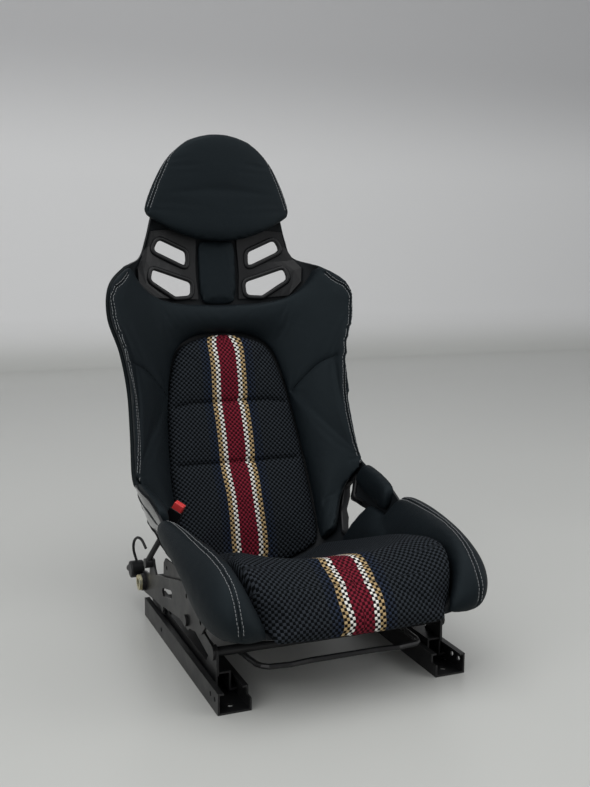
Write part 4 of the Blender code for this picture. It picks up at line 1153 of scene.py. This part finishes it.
def build_shell():
    shell = bucket_patch("shell", (0, LAST_STATION), (-1.0, 1.0), 64, 150)
    face = surface_tree(shell.data)
    modifier(shell, "SOLIDIFY", thickness=SHELL_WALL, offset=1.0, use_even_offset=False)
    modifier(shell, "BEVEL", width=RIM_ROUND, segments=3, limit_method="ANGLE",
             angle_limit=RIM_ANGLE)
    applied(shell)
    cutters = []
    for _, side in SIDES:
        for corners in HARNESS_SLOTS:
            outline = slot_outline(corners, SLOT_MARGIN, HARNESS_ROUND, side)
            cutters.append(prism("slot", outline, "Y", *HARNESS_CUT))
        outline = slot_outline(LAP_SLOT, SLOT_MARGIN, LAP_ROUND)
        cutters.append(prism("slot", outline, "X", *(side * x for x in LAP_CUT)))
    cut(shell, cutters)
    layer = shell.data.attributes.new("inside", "FLOAT", "POINT")
    for vertex in shell.data.vertices:
        off = face.find_nearest(vertex.co)[3]
        layer.data[vertex.index].value = 1.0 - clamped((off - INSIDE_DEPTH) / INSIDE_FADE)
    add_bosses(shell)
    shell.data.shade_smooth()
    shell.data.set_sharp_from_angle(angle=SHARP_ANGLE)
    placed(shell, "gloss_laminate")
    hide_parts("seat_shell")


WRAP_ENDS = (5.80, 12.95)    # stations between which leather is drawn over the rim
WRAP_GAP = 0.0003
WRAP_THICK = 0.0024
WRAP_ROWS = 150
WRAP_TAPER = 4               # rows over which both ends thin out
WRAP_LIP = (0.003, 0.0025)   # how far it stands above the rim, inside and outside
WRAP_TURN = 0.985            # v on the shell's back where the leather lies flat
WRAP_FLAT = 0.950            # v where it begins to thin
WRAP_END = 0.930


def rim_wrap(name, side):
    """The back cover's leather drawn over the shell's rim on one side."""
    shape = bmesh.new()
    first, last = WRAP_ENDS
    near = WRAP_GAP
    back = SHELL_WALL + near
    loops = []
    for i in range(WRAP_ROWS + 1):
        u = first + (last - first) * i / WRAP_ROWS
        rim = bucket(u, side)
        turn, flat, end = (bucket(u, side * v) for v in (WRAP_TURN, WRAP_FLAT, WRAP_END))
        inside = facing(u, side * 0.99)
        out = (rim - bucket(u, side * 0.97)).normalized()
        far = near + WRAP_THICK * min(1.0, i / WRAP_TAPER, (WRAP_ROWS - i) / WRAP_TAPER)
        outer_back = SHELL_WALL + far
        ring = [
            rim + inside * WRAP_LIP[0] + out * near, rim + inside * WRAP_LIP[1] + out * far,
            rim - inside * 0.5 * SHELL_WALL + out * far * 1.05,
            rim - inside * (SHELL_WALL + 0.4 * far) + out * far * 0.7,
            turn - inside * outer_back, flat - inside * outer_back,
            end - facing(u, side * WRAP_END) * (back + WRAP_GAP),
            flat - inside * back, turn - inside * back, rim - inside * back + out * near,
        ]
        loops.append([shape.verts.new(point) for point in ring])
    skin(shape, loops)
    band = from_bmesh(f"rim_wrap_{name}", shape)
    placed(band, "cover_leather")
    band.data.shade_smooth()


ADAPTER_BOLTS = ((-0.330, 0.150), (-0.142, 0.142))
BOSS_END_X = 0.2165
BOSS_RADIUS = 0.010
BOSS_START = 0.02            # how far outside the boss's end the search for the shell begins
BOSS_SINK = 0.002


def add_bosses(shell):
    """Round feet from the shell's sides to the adapters."""
    shape = bmesh.new()
    shape.from_mesh(shell.data)
    tree = surface_tree(shell.data)
    for _, side in SIDES:
        for y, z in ADAPTER_BOLTS:
            start = Vector((side * (BOSS_END_X + BOSS_START), y + BIGHT_Y, z))
            root = tree.ray_cast(start, Vector((-side, 0.0, 0.0)))[0]
            reach = BOSS_END_X - abs(root.x) + BOSS_SINK
            turn = Matrix.Rotation(math.radians(90), 4, "Y")
            middle = Vector((side * (BOSS_END_X - reach / 2), y + BIGHT_Y, z))
            bmesh.ops.create_cone(
                shape, cap_ends=True, segments=40, radius1=BOSS_RADIUS, radius2=BOSS_RADIUS,
                depth=reach, matrix=Matrix.Translation(middle) @ turn)
    shape.to_mesh(shell.data)
    shape.free()


class SEAT_OT_head_pad(bpy.types.Operator):
    """The bell-shaped head pad and its gusset seam"""

    bl_idname = "seat.head_pad"
    bl_label = "Head pad"

    def execute(self, context):
        pad, laid = cover("head_cover", "head_pad", both_sides(HEAD_SEAM), cap=0.004)
        stitch_rows("head_stitching", pad, laid, SEAM_OFFSET)
        return {"FINISHED"}


class SEAT_OT_back(bpy.types.Operator):
    """The leather surround of the back, with its wing and diagonal seams"""

    bl_idname = "seat.back"
    bl_label = "Back cover"

    def execute(self, context):
        wings = [wing_seam(side) for _, side in SIDES]
        pad, laid = cover("back_surround", "back_cover", wings + both_sides(DIAGONAL_SEAM),
                          cap=0.006, finish_edge=trued_edge)
        stitch_rows("back_stitching", pad, laid[:len(wings)], SEAM_OFFSET)
        for name, side in SIDES:
            rim_wrap(name, side)
        return {"FINISHED"}


class SEAT_OT_insert(bpy.types.Operator):
    """The woven insert of the back with its sewn channels"""

    bl_idname = "seat.insert"
    bl_label = "Back insert"

    def execute(self, context):
        lines = [channel_line(u) for u in INSERT_CHANNELS]
        route = []
        for u in INSERT_STATIONS:
            point = bucket(u, 0.0) + facing(u, 0.0) * BACK_PAD
            route.append(Vector((point.y, point.z)))
        cover("woven_back", "back_insert", lines, cap=0.008, depth=0.004, reach=0.005,
              route=route)
        return {"FINISHED"}


class SEAT_OT_cushion(bpy.types.Operator):
    """The woven cushion with its rounded front"""

    bl_idname = "seat.cushion"
    bl_label = "Cushion"

    def execute(self, context):
        route = []
        for u, height in CUSHION_ROUTE:
            point = bucket(u, 0.0) + CUSHION_RISE * height
            route.append(Vector((point.y, point.z)))
        cover("woven_cushion", "cushion", cap=0.010, ease=14, route=route)
        return {"FINISHED"}


CUSHION_RISE = Vector((0.0, -0.0100, 0.0995))
CUSHION_ROUTE = (            # station, and how many rises above the pan
    (15.25, 0.30), (16.60, 0.52), (18.20, 0.72), (19.40, 0.90), (20.40, 0.97), (21.20, 0.76),
    (22.00, 0.50), (22.85, 0.30),
)


class SEAT_OT_bolsters(bpy.types.Operator):
    """The thigh bolsters with their double-stitched top seam"""

    bl_idname = "seat.bolsters"
    bl_label = "Thigh bolsters"

    def execute(self, context):
        for name, side in SIDES:
            line = line_through(shifted(BOLSTER_SEAM, side))
            filling = hip_filling(side)
            pad, laid = cover(f"bolster_{name}", f"cushion_bolster_{name}", [line], cap=0.006,
                              ease=16, fillings=[filling])
            bpy.data.meshes.remove(filling)
            stitch_rows(f"bolster_stitching_{name}", pad, laid, BOLSTER_OFFSET)
        return {"FINISHED"}


HIP_ROWS = (                 # station, then v and height of the lower and the upper edge
    (16.05, 0.475, 0.034, 0.835, 0.018),
    (16.50, 0.489, 0.041, 0.840, 0.020),
    (16.90, 0.505, 0.047, 0.845, 0.022),
    (17.30, 0.523, 0.050, 0.850, 0.024),
    (17.90, 0.549, 0.052, 0.855, 0.022),
)
HIP_RISE = Vector((0.0, -0.1, 0.995))
HIP_SWELL = 0.006
HIP_GAP = 0.0008
HIP_PARTS = 8


def hip_filling(side):
    """Carries a bolster back along the shell's corner to the lap-belt slot."""
    shape = bmesh.new()
    loops = []
    for u, low, height, high, lift in HIP_ROWS:
        start = bucket(u, side * low) + HIP_RISE * height
        end = bucket(u, side * high) + facing(u, side * high) * lift
        swell = facing(u, side * 0.7) * HIP_SWELL
        wall = []
        chord = []
        for i in range(HIP_PARTS + 1):
            t = i / HIP_PARTS
            v = side * (high + (low - high) * t)
            wall.append(bucket(u, v) + facing(u, v) * HIP_GAP)
            chord.append(start.lerp(end, t) + swell * math.sin(math.pi * t))
        loops.append([shape.verts.new(point) for point in wall + chord])
    skin(shape, loops)
    data = bpy.data.meshes.new("hip filling")
    shape.to_mesh(data)
    shape.free()
    return data


class SEAT_OT_small_pads(bpy.types.Operator):
    """The spine strip and the hip caps"""

    bl_idname = "seat.small_pads"
    bl_label = "Spine and hip pads"

    def execute(self, context):
        cover("spine_strip", "spine_pad", cap=0.002, ease=4)
        for name, _ in SIDES:
            pad, _ = cover(f"hip_pad_{name}", f"hip_cap_{name}", cap=0.003, ease=6)
            tucked_in(pad)
        return {"FINISHED"}


RIM_TUCK = 0.0015
TUCK_STATIONS = [13.0 + 0.02 * i for i in range(220)]


def tucked_in(pad):
    """Ends a pad at the rim, so the shell's outer face stays bare."""
    rims = [bucket(u, 1.0) for u in TUCK_STATIONS]
    tree = point_tree([[(0.0, rim.y, rim.z) for rim in rims]])
    for vertex in pad.data.vertices:
        index = tree.find((0.0, vertex.co.y, vertex.co.z))[1]
        limit = rims[index].x + RIM_TUCK
        if abs(vertex.co.x) > limit:
            vertex.co.x = math.copysign(limit, vertex.co.x)


ROLL = 0.0050                # radius of the rolled edge round a harness slot
BEZEL_LIP = 0.0025
ROLL_BED = 0.0015
ROLL_ROUND = 0.016           # how round its corners are
ROLL_STEPS = 8
SLOT_FACE_Y = 0.21 + BIGHT_Y


class SEAT_OT_slot_rolls(bpy.types.Operator):
    """Rolled edges round the harness slots and the lap-belt slots"""

    bl_idname = "seat.slot_rolls"
    bl_label = "Slot edges"

    def execute(self, context):
        for name, side in SIDES:
            tree = surface_tree(node_mesh(f"harness_bezel_{name}"))
            for level, corners in zip(("upper", "lower"), HARNESS_SLOTS):
                route = []
                for x, z in slot_outline(corners, ROLL - BEZEL_LIP - ROLL_BED, ROLL_ROUND,
                                         side, ROLL_STEPS):
                    hit = tree.ray_cast(Vector((x, 0.0, z)), Vector((0.0, 1.0, 0.0)))[0]
                    if hit is None:
                        hit = tree.find_nearest(Vector((x, SLOT_FACE_Y, z)))[0]
                    route.append(Vector((x, hit.y, z)))
                roll = swept(f"slot_roll_{level}_{name}", route, ROLL)
                placed(roll, "moulded_plastic")
            lap_roll(name, side)
        return {"FINISHED"}


LAP_ROLL = 0.0050
LAP_ROLL_BED = 0.0034
LAP_PATCH = ((13.2, 16.8), (0.45, 1.0))      # stations and widths of the shell round the slot
LAP_FACE_X = 0.24
STALK = (Vector((-0.2355, -0.052 + BIGHT_Y, 0.126)),
         Vector((-0.1832, -0.088 + BIGHT_Y, 0.2370)))
STALK_ROOM = 0.016


def lap_roll(name, side):
    """Rolled edge round a lap-belt slot, open where the buckle's stalk passes."""
    stations, widths = LAP_PATCH
    patch = bucket_patch("lap patch", stations, [side * v for v in widths], 40, 60)
    tree = surface_tree(patch.data)
    bpy.data.objects.remove(patch)
    route = []
    gap = None
    foot, head = STALK
    for y, z in slot_outline(LAP_SLOT, LAP_ROLL - LAP_ROLL_BED, ROLL_ROUND, steps=ROLL_STEPS):
        start = Vector((0.0, y + BIGHT_Y, z))
        spot = tree.ray_cast(start, Vector((side, 0.0, 0.0)))[0]
        if spot is None:
            spot = tree.find_nearest(Vector((side * LAP_FACE_X, y + BIGHT_Y, z)))[0]
        along = (spot - foot).dot(head - foot) / (head - foot).length_squared
        if (spot - foot.lerp(head, along)).length < STALK_ROOM:
            gap = len(route)
        else:
            route.append(spot)
    if gap is not None:
        route = route[gap:] + route[:gap]
    roll = swept(f"lap_slot_roll_{name}", route, LAP_ROLL, closed=gap is None)
    placed(roll, "moulded_plastic")


BAR_ROUNDNESS = 5


def swept(name, route, radius, closed=True):
    """A round bar along a route, as a mesh."""
    line = bpy.data.curves.new(name, "CURVE")
    line.dimensions = "3D"
    line.bevel_depth = radius
    line.bevel_resolution = BAR_ROUNDNESS
    line.use_fill_caps = not closed
    spline = line.splines.new("POLY")
    spline.points.add(len(route) - 1)
    for point, place in zip(spline.points, route):
        point.co = (*place, 1.0)
    spline.use_cyclic_u = closed
    bar = new_object(name, line)
    depsgraph = bpy.context.evaluated_depsgraph_get()
    data = bpy.data.meshes.new_from_object(bar.evaluated_get(depsgraph), depsgraph=depsgraph)
    bpy.data.objects.remove(bar)
    bpy.data.curves.remove(line)
    data.name = name
    data.shade_smooth()
    return new_object(name, data)


PAIRED_FINISHES = {          # nodes with one on each side
    "coated_steel": ("lower_rail", "upper_rail", "rear_rocker", "front_rocker",
                     "rail_pivot_bolt", "front_pivot_bolt", "hub_bolt", "side_plate",
                     "shell_adapter"),
    "moulded_plastic": ("harness_bezel", "lap_slot_bezel", "glide_inner", "glide_outer"),
}
SINGLE_FINISHES = {
    "coated_steel": ("rear_torque_tube", "front_cross_tube", "release_bar", "buckle_stalk"),
    "yellow_zinc": ("hub_ring",),
    "button_red": ("buckle_button",),
    "moulded_plastic": ("height_motor", "motor_plug", "cable_loop", "buckle_housing"),
}


class SEAT_OT_hardware(bpy.types.Operator):
    """Finishes for the steel and plastic parts"""

    bl_idname = "seat.hardware"
    bl_label = "Hardware"

    def execute(self, context):
        for finish, nodes in SINGLE_FINISHES.items():
            for node in nodes:
                dressed(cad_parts[node], finish)
        for finish, stems in PAIRED_FINISHES.items():
            for stem in stems:
                for side, _ in SIDES:
                    dressed(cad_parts[f"{stem}_{side}"], finish)
        return {"FINISHED"}


def dressed(node, finish):
    """Gives a CAD node its finish."""
    if not node.material_slots:
        node.data.materials.append(look(finish))
    for holder in node.material_slots:
        holder.material = look(finish)


class SEAT_PT_sidebar(bpy.types.Panel):
    """Lists the seat's steps"""

    bl_idname = "SEAT_PT_sidebar"
    bl_label = "Racing seat"
    bl_space_type = "VIEW_3D"
    bl_region_type = "UI"
    bl_category = "Seat"

    def draw(self, context):
        for operator in OPERATORS:
            self.layout.operator(operator.bl_idname)
        for settings in (context.scene.seat_colours, context.scene.seat_sewing):
            for name in settings.__annotations__:
                self.layout.prop(settings, name)


OPERATORS = (
    SEAT_OT_stage, SEAT_OT_shell, SEAT_OT_head_pad, SEAT_OT_back, SEAT_OT_insert,
    SEAT_OT_cushion, SEAT_OT_bolsters, SEAT_OT_small_pads, SEAT_OT_slot_rolls,
    SEAT_OT_hardware,
)
CLASSES = (SeatColours, SeatSewing, *OPERATORS, SEAT_PT_sidebar)


def register():
    for one in CLASSES:
        bpy.utils.register_class(one)
    bpy.types.Scene.seat_colours = bpy.props.PointerProperty(type=SeatColours)
    bpy.types.Scene.seat_sewing = bpy.props.PointerProperty(type=SeatSewing)


def unregister():
    del bpy.types.Scene.seat_sewing
    del bpy.types.Scene.seat_colours
    for one in reversed(CLASSES):
        bpy.utils.unregister_class(one)


def main():
    register()
    bpy.ops.seat.stage()
    bpy.ops.seat.shell()
    bpy.ops.seat.head_pad()
    bpy.ops.seat.back()
    bpy.ops.seat.insert()
    bpy.ops.seat.cushion()
    bpy.ops.seat.bolsters()
    bpy.ops.seat.small_pads()
    bpy.ops.seat.slot_rolls()
    bpy.ops.seat.hardware()


if __name__ == "__main__":
    main()
